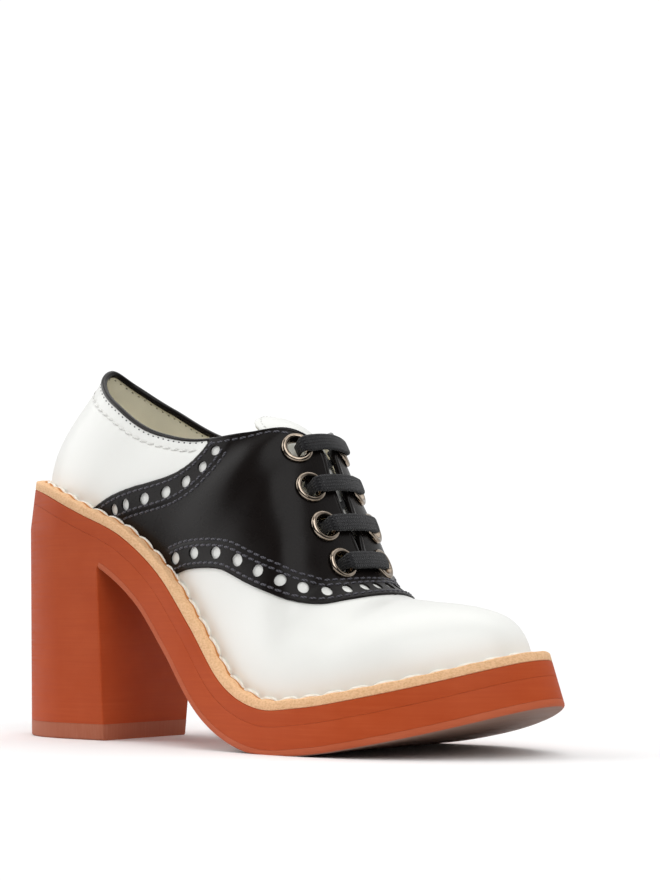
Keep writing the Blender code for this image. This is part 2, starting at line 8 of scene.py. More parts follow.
import json
import logging
import math
from dataclasses import dataclass, field
from enum import Enum, IntEnum
from typing import Iterable, Optional, Sequence, Union

import bpy
import numpy as np
from mathutils import Matrix, Vector

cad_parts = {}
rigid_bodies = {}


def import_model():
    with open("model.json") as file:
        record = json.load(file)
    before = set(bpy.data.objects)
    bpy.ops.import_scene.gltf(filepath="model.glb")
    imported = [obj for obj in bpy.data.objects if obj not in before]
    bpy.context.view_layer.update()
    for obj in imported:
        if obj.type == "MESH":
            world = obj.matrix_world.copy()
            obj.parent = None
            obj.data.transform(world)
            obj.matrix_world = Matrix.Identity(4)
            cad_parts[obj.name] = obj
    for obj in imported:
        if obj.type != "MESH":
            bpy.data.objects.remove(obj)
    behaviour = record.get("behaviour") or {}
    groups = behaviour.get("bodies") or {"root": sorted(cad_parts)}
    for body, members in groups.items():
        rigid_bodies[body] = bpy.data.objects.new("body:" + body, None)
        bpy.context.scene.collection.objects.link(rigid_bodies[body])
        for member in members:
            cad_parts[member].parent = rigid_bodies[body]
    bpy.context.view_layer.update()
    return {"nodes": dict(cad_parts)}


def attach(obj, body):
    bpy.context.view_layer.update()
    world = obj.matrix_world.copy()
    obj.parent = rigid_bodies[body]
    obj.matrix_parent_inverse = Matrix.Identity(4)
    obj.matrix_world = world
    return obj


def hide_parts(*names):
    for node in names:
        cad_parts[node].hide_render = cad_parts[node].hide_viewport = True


Array = np.ndarray
Thing = bpy.types.Object
Socket = bpy.types.NodeSocket
Material = bpy.types.Material
Faces = list[tuple[int, ...]]
Pair = tuple[float, float]
Triple = tuple[float, float, float]
Colour = Triple

MM = 0.001
TINY = 1e-9
BODY = "root"
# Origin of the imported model, seen from the shoe's own frame
FRAME_SHIFT = np.array((-115.749, 1.407, 0.0))
# Points closer than this are one: in millimetres, and in metres where a section is spun
WELD = 1e-4
SPIN_WELD = 1e-6
# Angles in degrees above which an edge stays sharp
CRISP_BODY = 40.0
CRISP_RIM = 45.0
CRISP_SHEET = 50.0
CRISP_STRIP = 60.0
CRISP_LACE = 80.0
# A quarter turn in the steps of a rounded edge
QUARTER = np.linspace(0, math.pi / 2, 5)
# Share of a step over which the direction of a line is taken
SLOPE_REACH = 0.4
# Where a cloudy pattern counts as low and as high, and how rough its finer clouds are
LOW_CLOUD = 0.3
HIGH_CLOUD = 0.7
CLOUD_ROUGHNESS = 0.55

log = logging.getLogger("lace_up_pump")


class Side(IntEnum):
    """The two sides of a right shoe, signed as y is."""

    OUTER = -1
    INNER = 1


# Points with their normals, or stations with their heights
Line = tuple[Array, Array]
# Points with two directions at each
Frame = tuple[Array, Array, Array]
# Points or normals of the wall on each side
Grids = dict[Side, Array]


class Edge(Enum):
    """The saddle's two edges across the wall, named as in its table."""

    REAR = "rear"
    FRONT = "front"


class Slot(Enum):
    """Material slots of the record."""

    RUST_SOLE = "rust_sole"
    HEEL_TIP = "heel_tip"
    WELT = "natural_welt"
    INSOLE = "insole_leather"
    WHITE = "white_leather"
    BLACK = "black_leather"
    METAL = "eyelet_metal"
    LACE = "lace"


def table(columns: Sequence[str], rows: Sequence[Sequence[float]]) -> dict[str, Array]:
    """Named columns of a short table of rows."""
    return dict(zip(columns, np.array(rows, dtype=float).T))


# Plan half widths of the sole and height of the midsole's top, a row for each section
SOLE = table(
    ("along", "outer", "inner", "bed"),
    (
        (0.000, 24.9, 26.3, 97.5),
        (0.100, 27.4, 28.1, 93.3),
        (0.200, 29.1, 28.3, 84.8),
        (0.300, 30.5, 28.2, 75.4),
        (0.383, 32.2, 28.4, 61.8),
        (0.464, 36.2, 30.6, 43.2),
        (0.545, 40.6, 34.2, 23.4),
        (0.626, 44.0, 38.8, 15.4),
        (0.706, 45.4, 41.9, 16.0),
        (0.807, 43.5, 42.3, 19.8),
        (0.908, 38.2, 38.8, 25.4),
        (1.000, 30.0, 33.0, 32.2),
    ),
)

# Top line of the upper, from the back of the collar over the throat and the vamp's ridge to the toe
UPPER = table(
    ("station", "top_x", "top_z", "outer", "inner", "lean", "rise", "crown", "flare"),
    (
        (-0.10, 38.6, 136.6, -10.0, -10.0, 86, 0.40, 0.30, 0.10),
        (0.00, 34.6, 142.0, 0.0, 0.0, 86, 0.40, 0.30, 0.10),
        (0.10, 38.6, 136.6, 10.0, 10.0, 86, 0.40, 0.30, 0.10),
        (0.20, 52.0, 127.0, 17.5, 17.5, 85, 0.38, 0.30, 0.12),
        (0.30, 79.0, 113.8, 22.0, 22.0, 82, 0.36, 0.30, 0.15),
        (0.35, 99.0, 110.4, 23.5, 23.0, 78, 0.36, 0.32, 0.18),
        (0.40, 121.0, 112.2, 21.0, 20.0, 66, 0.36, 0.36, 0.20),
        (0.43, 133.5, 113.6, 13.5, 12.0, 40, 0.38, 0.40, 0.22),
        (0.46, 140.3, 108.2, 5.4, 3.6, 20, 0.40, 0.42, 0.24),
        (0.50, 146.0, 94.0, 4.6, 2.8, 14, 0.40, 0.44, 0.25),
        (0.55, 152.7, 77.5, 3.2, 1.9, 8, 0.42, 0.46, 0.25),
        (0.60, 158.8, 62.3, 0.0, 0.0, 0, 0.45, 0.48, 0.25),
        (0.65, 170.0, 54.3, 0.0, 0.0, 0, 0.45, 0.48, 0.22),
        (0.70, 181.5, 52.2, 0.0, 0.0, 0, 0.45, 0.46, 0.20),
        (0.75, 193.0, 51.2, 0.0, 0.0, 0, 0.45, 0.46, 0.18),
        (0.80, 203.0, 49.8, 0.0, 0.0, 0, 0.45, 0.46, 0.16),
        (0.90, 216.2, 44.6, 0.0, 0.0, 0, 0.45, 0.46, 0.12),
        (0.96, 220.8, 38.2, 0.0, 0.0, 0, 0.45, 0.46, 0.10),
        (1.00, 223.4, 30.9, 0.0, 0.0, 0, 0.45, 0.46, 0.10),
    ),
)

# The saddle's two edges across the wall, from the welt (0) to the top line (1)
SADDLE = table(
    ("height", "rear", "front"),
    (
        (0.00, 0.275, 0.425),
        (0.12, 0.292, 0.440),
        (0.20, 0.302, 0.456),
        (0.30, 0.316, 0.483),
        (0.40, 0.331, 0.519),
        (0.50, 0.347, 0.579),
        (0.60, 0.361, 0.620),
        (0.70, 0.369, 0.636),
        (0.85, 0.371, 0.648),
        (1.00, 0.366, 0.652),
    ),
)

# Eyelet centres on the wall, from the top pair down
EYELETS = table(
    ("station", "height"),
    ((0.457, 0.905), (0.497, 0.883), (0.540, 0.870), (0.585, 0.863)),
)

# Tongue from its root under the throat point to its free top
TONGUE = table(
    ("x", "z", "half_width", "drop_x", "drop_z"),
    (
        (157.4, 56.0, 11.0, -1.5, -4.5),
        (152.6, 66.0, 13.0, -3.0, -3.4),
        (147.4, 80.0, 14.0, -4.4, -2.4),
        (141.4, 95.0, 13.6, -5.6, -2.8),
        (135.4, 107.0, 12.8, -5.4, -4.2),
        (129.6, 113.6, 12.4, -3.6, -5.2),
        (121.5, 117.6, 12.4, -1.2, -4.6),
        (115.6, 118.8, 10.0, 0.0, -2.8),
        (113.0, 119.0, 5.0, 0.0, -0.8),
    ),
)

# Heavy seam under the collar, as heights on the wall
COLLAR_SEAM = table(("station", "height"), ((0.0, 0.850), (0.10, 0.852), (0.24, 0.868), (0.366, 0.885)))

# Soft troughs of the worn-in leather: two ends on the wall, depth and half width in millimetres
CREASES = table(
    ("station_a", "height_a", "station_b", "height_b", "depth", "spread"),
    (
        (0.690, 0.50, 0.735, 0.98, 0.09, 5.5),
        (0.640, 0.30, 0.690, 0.52, 0.09, 6.0),
        (0.735, 0.35, 0.775, 0.80, 0.06, 5.0),
        (0.130, 0.12, 0.215, 0.52, 0.16, 7.0),
        (0.225, 0.42, 0.300, 0.70, 0.10, 6.0),
        (0.040, 0.30, 0.090, 0.70, 0.10, 6.0),
    ),
)


# Numbers and curves

def through(xs: Array, ys: Array, at: Array) -> Array:
    """Smooth curve through the rows of a table: cubics with averaged slopes.

    Args:
        xs: rising positions of the rows.
        ys: values at the rows.
        at: positions to read.
    Returns:
        Values at those positions.
    """
    step = np.diff(xs)
    slope = np.diff(ys) / step
    inside = (slope[:-1] * step[1:] + slope[1:] * step[:-1]) / (step[:-1] + step[1:])
    tangent = np.concatenate((slope[:1], inside, slope[-1:]))
    at = np.asarray(at, dtype=float)
    cell = np.clip(np.searchsorted(xs, at) - 1, 0, len(xs) - 2)
    u = (at - xs[cell]) / step[cell]
    start = (1 + 2 * u) * (1 - u) ** 2 * ys[cell] + u * (1 - u) ** 2 * step[cell] * tangent[cell]
    end = u * u * (3 - 2 * u) * ys[cell + 1] + u * u * (u - 1) * step[cell] * tangent[cell + 1]
    return start + end


def smooth_step(share: Array) -> Array:
    """Soft rise from 0 to 1."""
    share = np.clip(share, 0, 1)
    return share * share * (3 - 2 * share)


def round_end(share: Array, squareness: float) -> Array:
    """Share of the full width at a share of the way in from a rounded end."""
    inward = 1 - np.clip(share, 0, 1)
    return (1 - inward ** squareness) ** (1 / squareness)


def unit(vectors: Array) -> Array:
    """Vectors scaled to length one."""
    length = np.linalg.norm(vectors, axis=-1, keepdims=True)
    return vectors / np.maximum(length, TINY)


def across(first: Array, second: Array) -> Array:
    """Dot product along the last axis, kept as a column."""
    return np.sum(first * second, axis=-1, keepdims=True)


def crowded(cells: int, start: float = 0.0, end: float = 1.0) -> Array:
    """Positions that crowd towards both ends."""
    return start + (end - start) * (1 - np.cos(np.linspace(0, math.pi, cells + 1))) / 2


def way_along(points: Array) -> Array:
    """Length of the way from the first point to each point of a line."""
    return np.concatenate(([0.0], np.cumsum(np.linalg.norm(np.diff(points, axis=0), axis=1))))


def read_along(way: Array, values: Array, at: Array) -> Array:
    """Points or directions read at places along a way."""
    return np.stack([np.interp(at, way, column) for column in values.T], axis=1)


def bezier(start: Array, leave: Array, arrive: Array, end: Array, t: Array) -> Array:
    """Point of the cubic curve that two handles pull."""
    return (1 - t) ** 3 * start + 3 * t * (1 - t) ** 2 * leave + 3 * t * t * (1 - t) * arrive + t ** 3 * end


def evenly(points: Array, normals: Array, pitch: float) -> Frame:
    """Frames at even steps along a line.

    Args:
        points: the line.
        normals: upward directions along it.
        pitch: wanted step; it is adjusted to a whole number of steps.
    Returns:
        Middles of the steps, directions of the line and upward directions there.
    """
    way = way_along(points)
    count = max(1, round(way[-1] / pitch))
    at = (np.arange(count) + 0.5) * way[-1] / count
    reach = SLOPE_REACH * pitch
    ahead = unit(read_along(way, points, at + reach) - read_along(way, points, at - reach))
    up = unit(read_along(way, normals, at))
    return read_along(way, points, at), ahead, unit(up - ahead * across(up, ahead))


def nearest(points: Array, line: Array) -> Line:
    """Distance of points from a line and the way along the line to the nearest place.

    Args:
        points: any array of points.
        line: close points of the line.
    Returns:
        Distances and ways, shaped as the points are.
    """
    flat = points.reshape(-1, 3)
    best = np.full(len(flat), np.inf)
    place = np.zeros(len(flat), dtype=int)
    for index, spot in enumerate(line):
        distance = np.sum((flat - spot) ** 2, axis=1)
        closer = distance < best
        best[closer] = distance[closer]
        place[closer] = index
    shape = points.shape[:-1]
    return np.sqrt(best).reshape(shape), way_along(line)[place].reshape(shape)


# The last

@dataclass(frozen=True)
class Last:
    """Form of the shoe: outline of the sole, its bed, and the wall of the upper."""

    gap: float = 0.35
    length: float = 229.5
    heel_round: float = 38.0
    heel_squareness: float = 1.9
    toe_round: float = 55.5
    toe_squareness: float = 2.1
    inset_rounding: float = 0.6
    toe_swing: float = 3.0
    swing_from: float = 0.55
    slope_step: float = 0.5
    welt_width: float = 6.0
    throat_point: float = 0.60
    sideways_from: float = 0.35
    sideways_span: float = 0.20
    station_step: float = 0.001
    walk_steps: int = 8

    def bed_height(self, x: Array) -> Array:
        """Height of the midsole's top."""
        return through(SOLE["along"] * self.length, SOLE["bed"], x)

    def bed_normal(self, x: Array) -> Array:
        """Upward normal of the midsole's top.

        Args:
            x: places along the shoe.
        Returns:
            The normals.
        """
        step = self.slope_step
        rise = (self.bed_height(x + step) - self.bed_height(x - step)) / (2 * step)
        return unit(np.stack((-rise, np.zeros_like(rise), np.ones_like(rise)), axis=-1))

    def middle_y(self, x: Array) -> Array:
        """Middle line in plan, which swings to the inner side at the toe."""
        return self.toe_swing * smooth_step((x / self.length - self.swing_from) / (1 - self.swing_from))

    def edge_y(self, side: Side, x: Array, inset: float = 0.0) -> Array:
        """Plan outline of the sole on one side.

        Args:
            side: side of the shoe.
            x: places along the shoe.
            inset: how far the outline is set in from the sole's edge.
        Returns:
            The outline's y.
        """
        column = SOLE["outer" if side == Side.OUTER else "inner"]
        width = through(SOLE["along"], column, (x - inset) / (self.length - 2 * inset)) - inset
        shrink = self.inset_rounding * inset
        heel = round_end((x - inset) / (self.heel_round - shrink), self.heel_squareness)
        toe = round_end((self.length - inset - x) / (self.toe_round - shrink), self.toe_squareness)
        return self.middle_y(x) + (side * width - self.middle_y(x)) * heel * toe

    def on_bed(self, x: Array, y: Array, above: float) -> Array:
        """Point at a distance above the midsole's top, along its normal."""
        return np.stack((x, y, self.bed_height(x)), axis=-1) + above * self.bed_normal(x)

    def outline(self, side: Side, station: Array, inset: float, above: float) -> Array:
        """Points at shares of the way from heel to toe, on an outline set in from the sole's edge."""
        x = inset + (self.length - 2 * inset) * (1 - np.cos(math.pi * np.asarray(station))) / 2
        return self.on_bed(x, self.edge_y(side, x, inset), above)

    def station_at(self, x: float) -> float:
        """Station of the sole's edge at a place along the shoe."""
        return math.acos(1 - 2 * x / self.length) / math.pi

    def top_line(self, side: Side, station: Array) -> Array:
        """Point of the upper's top line.

        Args:
            side: side of the shoe.
            station: share of the way from heel to toe.
        Returns:
            The points.
        """
        column = UPPER["outer" if side == Side.OUTER else "inner"]
        opening = through(UPPER["station"], column, station)
        opening = np.where(station >= self.throat_point, 0.0, np.maximum(opening, 0.0))
        x = through(UPPER["station"], UPPER["top_x"], station)
        z = through(UPPER["station"], UPPER["top_z"], station)
        return np.stack((x, self.middle_y(x) + side * opening, z), axis=-1)

    def outward(self, side: Side, station: Array) -> Array:
        """Plan normal of the line where the upper meets the sole.

        Args:
            side: side of the shoe.
            station: share of the way from heel to toe.
        Returns:
            The normals.
        """
        step = self.station_step
        before = self.outline(side, np.clip(station - step, 0, 1), self.welt_width, self.gap)
        after = self.outline(side, np.clip(station + step, 0, 1), self.welt_width, self.gap)
        along = after - before
        flat = np.stack((-side * along[..., 1], side * along[..., 0], 0 * along[..., 0]), axis=-1)
        return unit(flat)

    def wall(self, side: Side, station: Array, height: Array) -> Array:
        """Outer face of the upper.

        Args:
            side: side of the shoe.
            station: share of the way from heel (0) to toe (1).
            height: share of the way from the welt (0) to the top line (1).
        Returns:
            Points on the wall.
        """
        station, height = np.broadcast_arrays(np.asarray(station, float), np.asarray(height, float))
        foot = self.outline(side, station, self.welt_width, self.gap)
        top = self.top_line(side, station)
        outward = self.outward(side, station)
        turn = smooth_step((station - self.sideways_from) / self.sideways_span)[..., None]
        sideways = unit((1 - turn) * outward + turn * np.array((0.0, side, 0.0)))
        chord = top - foot
        reach = np.linalg.norm(chord, axis=-1, keepdims=True)
        shape = {name: through(UPPER["station"], UPPER[name], station)[..., None]
                 for name in ("lean", "rise", "crown", "flare")}
        lean = np.radians(shape["lean"])
        leave = unit(self.bed_normal(foot[..., 0]) + shape["flare"] * outward)
        arrive = unit(np.cos(lean) * sideways - np.sin(lean) * unit(chord))
        low = foot + leave * shape["rise"] * reach
        high = top + arrive * shape["crown"] * reach
        return bezier(foot, low, high, top, height[..., None])

    def wall_frame(self, side: Side, station: Array, height: Array) -> Frame:
        """Point, outward normal and upward direction of the wall.

        Args:
            side: side of the shoe.
            station: share of the way from heel to toe.
            height: share of the way from welt to top line.
        Returns:
            Point, normal and upward direction.
        """
        step = self.station_step
        station = np.maximum(station, 2 * step)
        point = self.wall(side, station, height)
        ahead = self.wall(side, station + step, height) - self.wall(side, station - step, height)
        up = point - self.wall(side, station, height - step)
        return point, unit(side * np.cross(up, ahead)), unit(up)

    def walk(self, side: Side, station: Array, height: Array, heading: Array,
             distance: float) -> Line:
        """Walk a distance over the wall, in straight steps.

        Args:
            side: side of the shoe.
            station: stations to start from.
            height: heights to start from.
            heading: direction of each walk.
            distance: length of each walk.
        Returns:
            Stations and heights reached.
        """
        station = np.array(station, dtype=float)
        height = np.array(height, dtype=float)
        step = self.station_step
        for _ in range(self.walk_steps):
            to_toe = (self.wall(side, station + step, height) - self.wall(side, station - step, height)) / 2
            to_top = (self.wall(side, station, height + step) - self.wall(side, station, height - step)) / 2
            normal = unit(np.cross(to_top, to_toe))
            heading = unit(heading - normal * across(heading, normal))
            a, b, c = (across(p, q)[..., 0] for p, q in
                       ((to_toe, to_toe), (to_toe, to_top), (to_top, to_top)))
            d, e = (across(p, heading)[..., 0] * distance / self.walk_steps for p in (to_toe, to_top))
            spread = np.maximum(a * c - b * b, TINY)
            station = station + step * (c * d - b * e) / spread
            height = height + step * (a * e - b * d) / spread
        return station, height

    def below_rim(self, side: Side, station: Array, distance: float) -> Line:
        """Walk down from the top line.

        Args:
            side: side of the shoe.
            station: stations to start from.
            distance: length of each walk.
        Returns:
            Stations and heights reached.
        """
        rim = np.ones_like(station)
        _, _, up = self.wall_frame(side, station, rim)
        return self.walk(side, station, rim, -up, distance)

    def rim_rings(self, side: Side, station: Array, section: Sequence[Pair]) -> Array:
        """Sections of a strip along the top line, from pairs of distance outwards and upwards."""
        point, normal, up = self.wall_frame(side, station, np.ones_like(station))
        return np.stack([point + normal * out + up * rise for out, rise in section], axis=1)

    def grids(self, station: Array, height: Array) -> Grids:
        """Wall points of both sides on a grid that shares the back seam and the toe's tip.

        Args:
            station: grid of stations, a column from welt to top line in each row of the array.
            height: grid of heights.
        Returns:
            Grid of points for each side.
        """
        points = {side: self.wall(side, station, height) for side in Side}
        if np.all(station[0] == 0):
            seam = (points[Side.OUTER][0] + points[Side.INNER][0]) / 2
            seam[:, 1] = 0.0
            for side in Side:
                points[side][0] = seam
        if np.all(station[-1] == 1):
            for side in Side:
                points[side][-1] = points[Side.OUTER][-1, 0]
        return points

    def normals(self, points: Grids) -> Grids:
        """Outward normals of both grids, shared where the grids share points.

        Args:
            points: grid of points for each side.
        Returns:
            Grid of normals for each side.
        """
        normals = {}
        for side in Side:
            ahead = np.gradient(points[side], axis=0)
            up = np.gradient(points[side], axis=1)
            normals[side] = unit(side * np.cross(up, ahead))
        shared = np.all(points[Side.OUTER] == points[Side.INNER], axis=-1)
        middle = unit(normals[Side.OUTER] + normals[Side.INNER])
        for side in Side:
            normals[side][shared] = middle[shared]
        return normals


LAST = Last()


# Meshes

def to_model(points: Array) -> Array:
    """Points of the shoe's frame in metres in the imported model's frame."""
    return (np.asarray(points) + FRAME_SHIFT) * MM


def select_only(piece: Thing) -> None:
    """Make one object the selected and active one.

    Args:
        piece: the object.
    """
    bpy.ops.object.select_all(action="DESELECT")
    piece.select_set(True)
    bpy.context.view_layer.objects.active = piece


def hang(name: str, data: bpy.types.ID) -> Thing:
    """Put a new object into the scene, selected and active.

    Args:
        name: name of the object.
        data: its mesh, lamp or camera.
    Returns:
        The object.
    """
    thing = bpy.data.objects.new(name, data)
    bpy.context.scene.collection.objects.link(thing)
    select_only(thing)
    return thing


def outward_faces() -> None:
    """Turn all faces of the active object outwards, in edit mode."""
    bpy.ops.mesh.select_all(action="SELECT")
    bpy.ops.mesh.normals_make_consistent(inside=False)


def weld(points: Array, faces: Iterable[Sequence[int]]) -> tuple[Array, Faces]:
    """Merge points that meet and drop faces that close up or lie back to back.

    Args:
        points: points in millimetres.
        faces: corners of each face.
    Returns:
        Numbers of the points that are kept and the faces that are left.
    """
    keys = np.round(points / WELD).astype(np.int64)
    _, first, place = np.unique(keys, axis=0, return_index=True, return_inverse=True)
    place = place.ravel()
    kept: dict[frozenset[int], Optional[tuple[int, ...]]] = {}
    for face in faces:
        corners = [int(place[corner]) for corner in face]
        corners = [c for k, c in enumerate(corners) if c != corners[k - 1]]
        if len(corners) < 3 or len(set(corners)) < len(corners):
            continue
        key = frozenset(corners)
        kept[key] = None if key in kept else tuple(corners)
    return first, [face for face in kept.values() if face]


def new_piece(name: str, points: Array, faces: Iterable[Sequence[int]],
              crisp: float = CRISP_BODY, uv: Optional[Array] = None) -> Thing:
    """Object from points in the shoe's frame, smooth but for edges sharper than an angle.

    Args:
        name: name of the piece.
        points: points in millimetres.
        faces: corners of each face.
        crisp: angle above which an edge stays sharp.
        uv: u and v of each point, where a pattern follows the piece.
    Returns:
        The new object.
    """
    points = np.asarray(points, dtype=float).reshape(-1, 3)
    kept, faces = weld(points, faces)
    mesh = bpy.data.meshes.new(name)
    mesh.from_pydata(to_model(points[kept]).tolist(), [], faces)
    piece = hang(name, mesh)
    bpy.ops.object.mode_set(mode="EDIT")
    outward_faces()
    bpy.ops.object.mode_set(mode="OBJECT")
    bpy.ops.object.shade_smooth_by_angle(angle=math.radians(crisp))
    if uv is not None:
        lay_uv(piece, np.asarray(uv).reshape(-1, 2)[kept])
    return piece


def lay_uv(piece: Thing, places: Array) -> None:
    """Give a piece the UV map that its pattern follows.

    Args:
        piece: the piece.
        places: u and v of each point.
    """
    corner = np.zeros(len(piece.data.loops), dtype=int)
    piece.data.loops.foreach_get("vertex_index", corner)
    layer = piece.data.uv_layers.new(name="weave")
    layer.data.foreach_set("uv", places[corner].astype(np.float32).ravel())


def grid_faces(columns: int, rows: int, start: int, flip: bool) -> Faces:
    """Faces of a grid whose points are numbered column by column.

    Args:
        columns: number of columns.
        rows: number of points in a column.
        start: number of the first point.
        flip: whether the faces look the other way.
    Returns:
        The faces.
    """
    faces = []
    for column in range(columns - 1):
        for row in range(rows - 1):
            first = start + column * rows + row
            quad = (first, first + rows, first + rows + 1, first + 1)
            faces.append(quad[::-1] if flip else quad)
    return faces


def tube_faces(count: int, size: int, closed: bool) -> Faces:
    """Faces of a body through rings of equal point count.

    Args:
        count: number of rings.
        size: number of points in a ring.
        closed: whether the last ring runs on into the first; if not, both ends get a cap.
    Returns:
        The faces.
    """
    faces: Faces = []
    for ring in range(count if closed else count - 1):
        here, there = ring * size, (ring + 1) % count * size
        for corner in range(size):
            beside = (corner + 1) % size
            faces.append((here + corner, here + beside, there + beside, there + corner))
    if not closed:
        cap = range(size)
        faces.append(tuple(cap[::-1]))
        faces.append(tuple((count - 1) * size + corner for corner in cap))
    return faces


def shell(name: str, sheets: Sequence[Line], crisp: float = CRISP_SHEET) -> Thing:
    """Closed shell between the outer and inner grids of one or more sheets.

    Args:
        name: name of the piece.
        sheets: outer and inner grid of each sheet; sheets that share a border grow together.
        crisp: angle above which an edge stays sharp.
    Returns:
        The new object.
    """
    points = []
    faces: Faces = []
    start = 0
    for outer, inner in sheets:
        columns, rows = outer.shape[:2]
        count = columns * rows
        faces += grid_faces(columns, rows, start, False) + grid_faces(columns, rows, start + count, True)
        border = [c * rows for c in range(columns)]
        border += [(columns - 1) * rows + r for r in range(1, rows)]
        border += [c * rows + rows - 1 for c in range(columns - 2, -1, -1)]
        border += [r for r in range(rows - 2, 0, -1)]
        for here, there in zip(border, border[1:] + border[:1]):
            faces.append((start + here, start + there, start + count + there, start + count + here))
        points += [outer.reshape(-1, 3), inner.reshape(-1, 3)]
        start += 2 * count
    return new_piece(name, np.concatenate(points), faces, crisp)


def loft(name: str, rings: Array, closed: bool = False, crisp: float = CRISP_BODY,
         uv: Optional[Array] = None) -> Thing:
    """Body through rings of equal point count, run on to a loop or capped at both ends."""
    rings = np.asarray(rings)
    return new_piece(name, rings, tube_faces(*rings.shape[:2], closed), crisp, uv)


def cylinders(name: str, places: Sequence[Frame], radius: float, depth: float, segments: int) -> Thing:
    """Joined cylinders for punching holes.

    Args:
        name: name of the punch.
        places: middle, axis and drawn-out direction of each cylinder, the last one as long as the draw.
        radius: radius in millimetres.
        depth: length in millimetres.
        segments: sides of each cylinder.
    Returns:
        One object that holds them all.
    """
    made = []
    for middle, axis, drawn in places:
        beside = unit(np.cross(axis, drawn))
        turn = Matrix((unit(drawn), beside, axis)).transposed().to_euler()
        bpy.ops.mesh.primitive_cylinder_add(vertices=segments, radius=radius * MM, depth=depth * MM,
                                            location=Vector(to_model(middle)), rotation=turn,
                                            scale=(np.linalg.norm(drawn), 1, 1))
        made.append(bpy.context.object)
    bpy.ops.object.select_all(action="DESELECT")
    for cylinder in made:
        cylinder.select_set(True)
    bpy.context.view_layer.objects.active = made[0]
    bpy.ops.object.join()
    made[0].name = name
    bpy.ops.object.transform_apply(location=True, rotation=True, scale=True)
    return made[0]


def punch(piece: Thing, punches: Sequence[Thing]) -> None:
    """Cut holes through a sheet.

    Args:
        piece: the sheet to cut.
        punches: solids to take away.
    """
    select_only(piece)
    for solid in punches:
        cut = piece.modifiers.new("holes", "BOOLEAN")
        cut.operation = "DIFFERENCE"
        cut.solver = "EXACT"
        cut.object = solid
        bpy.ops.object.modifier_apply(modifier=cut.name)
    bpy.ops.object.shade_smooth_by_angle(angle=math.radians(CRISP_SHEET))


# Finishes

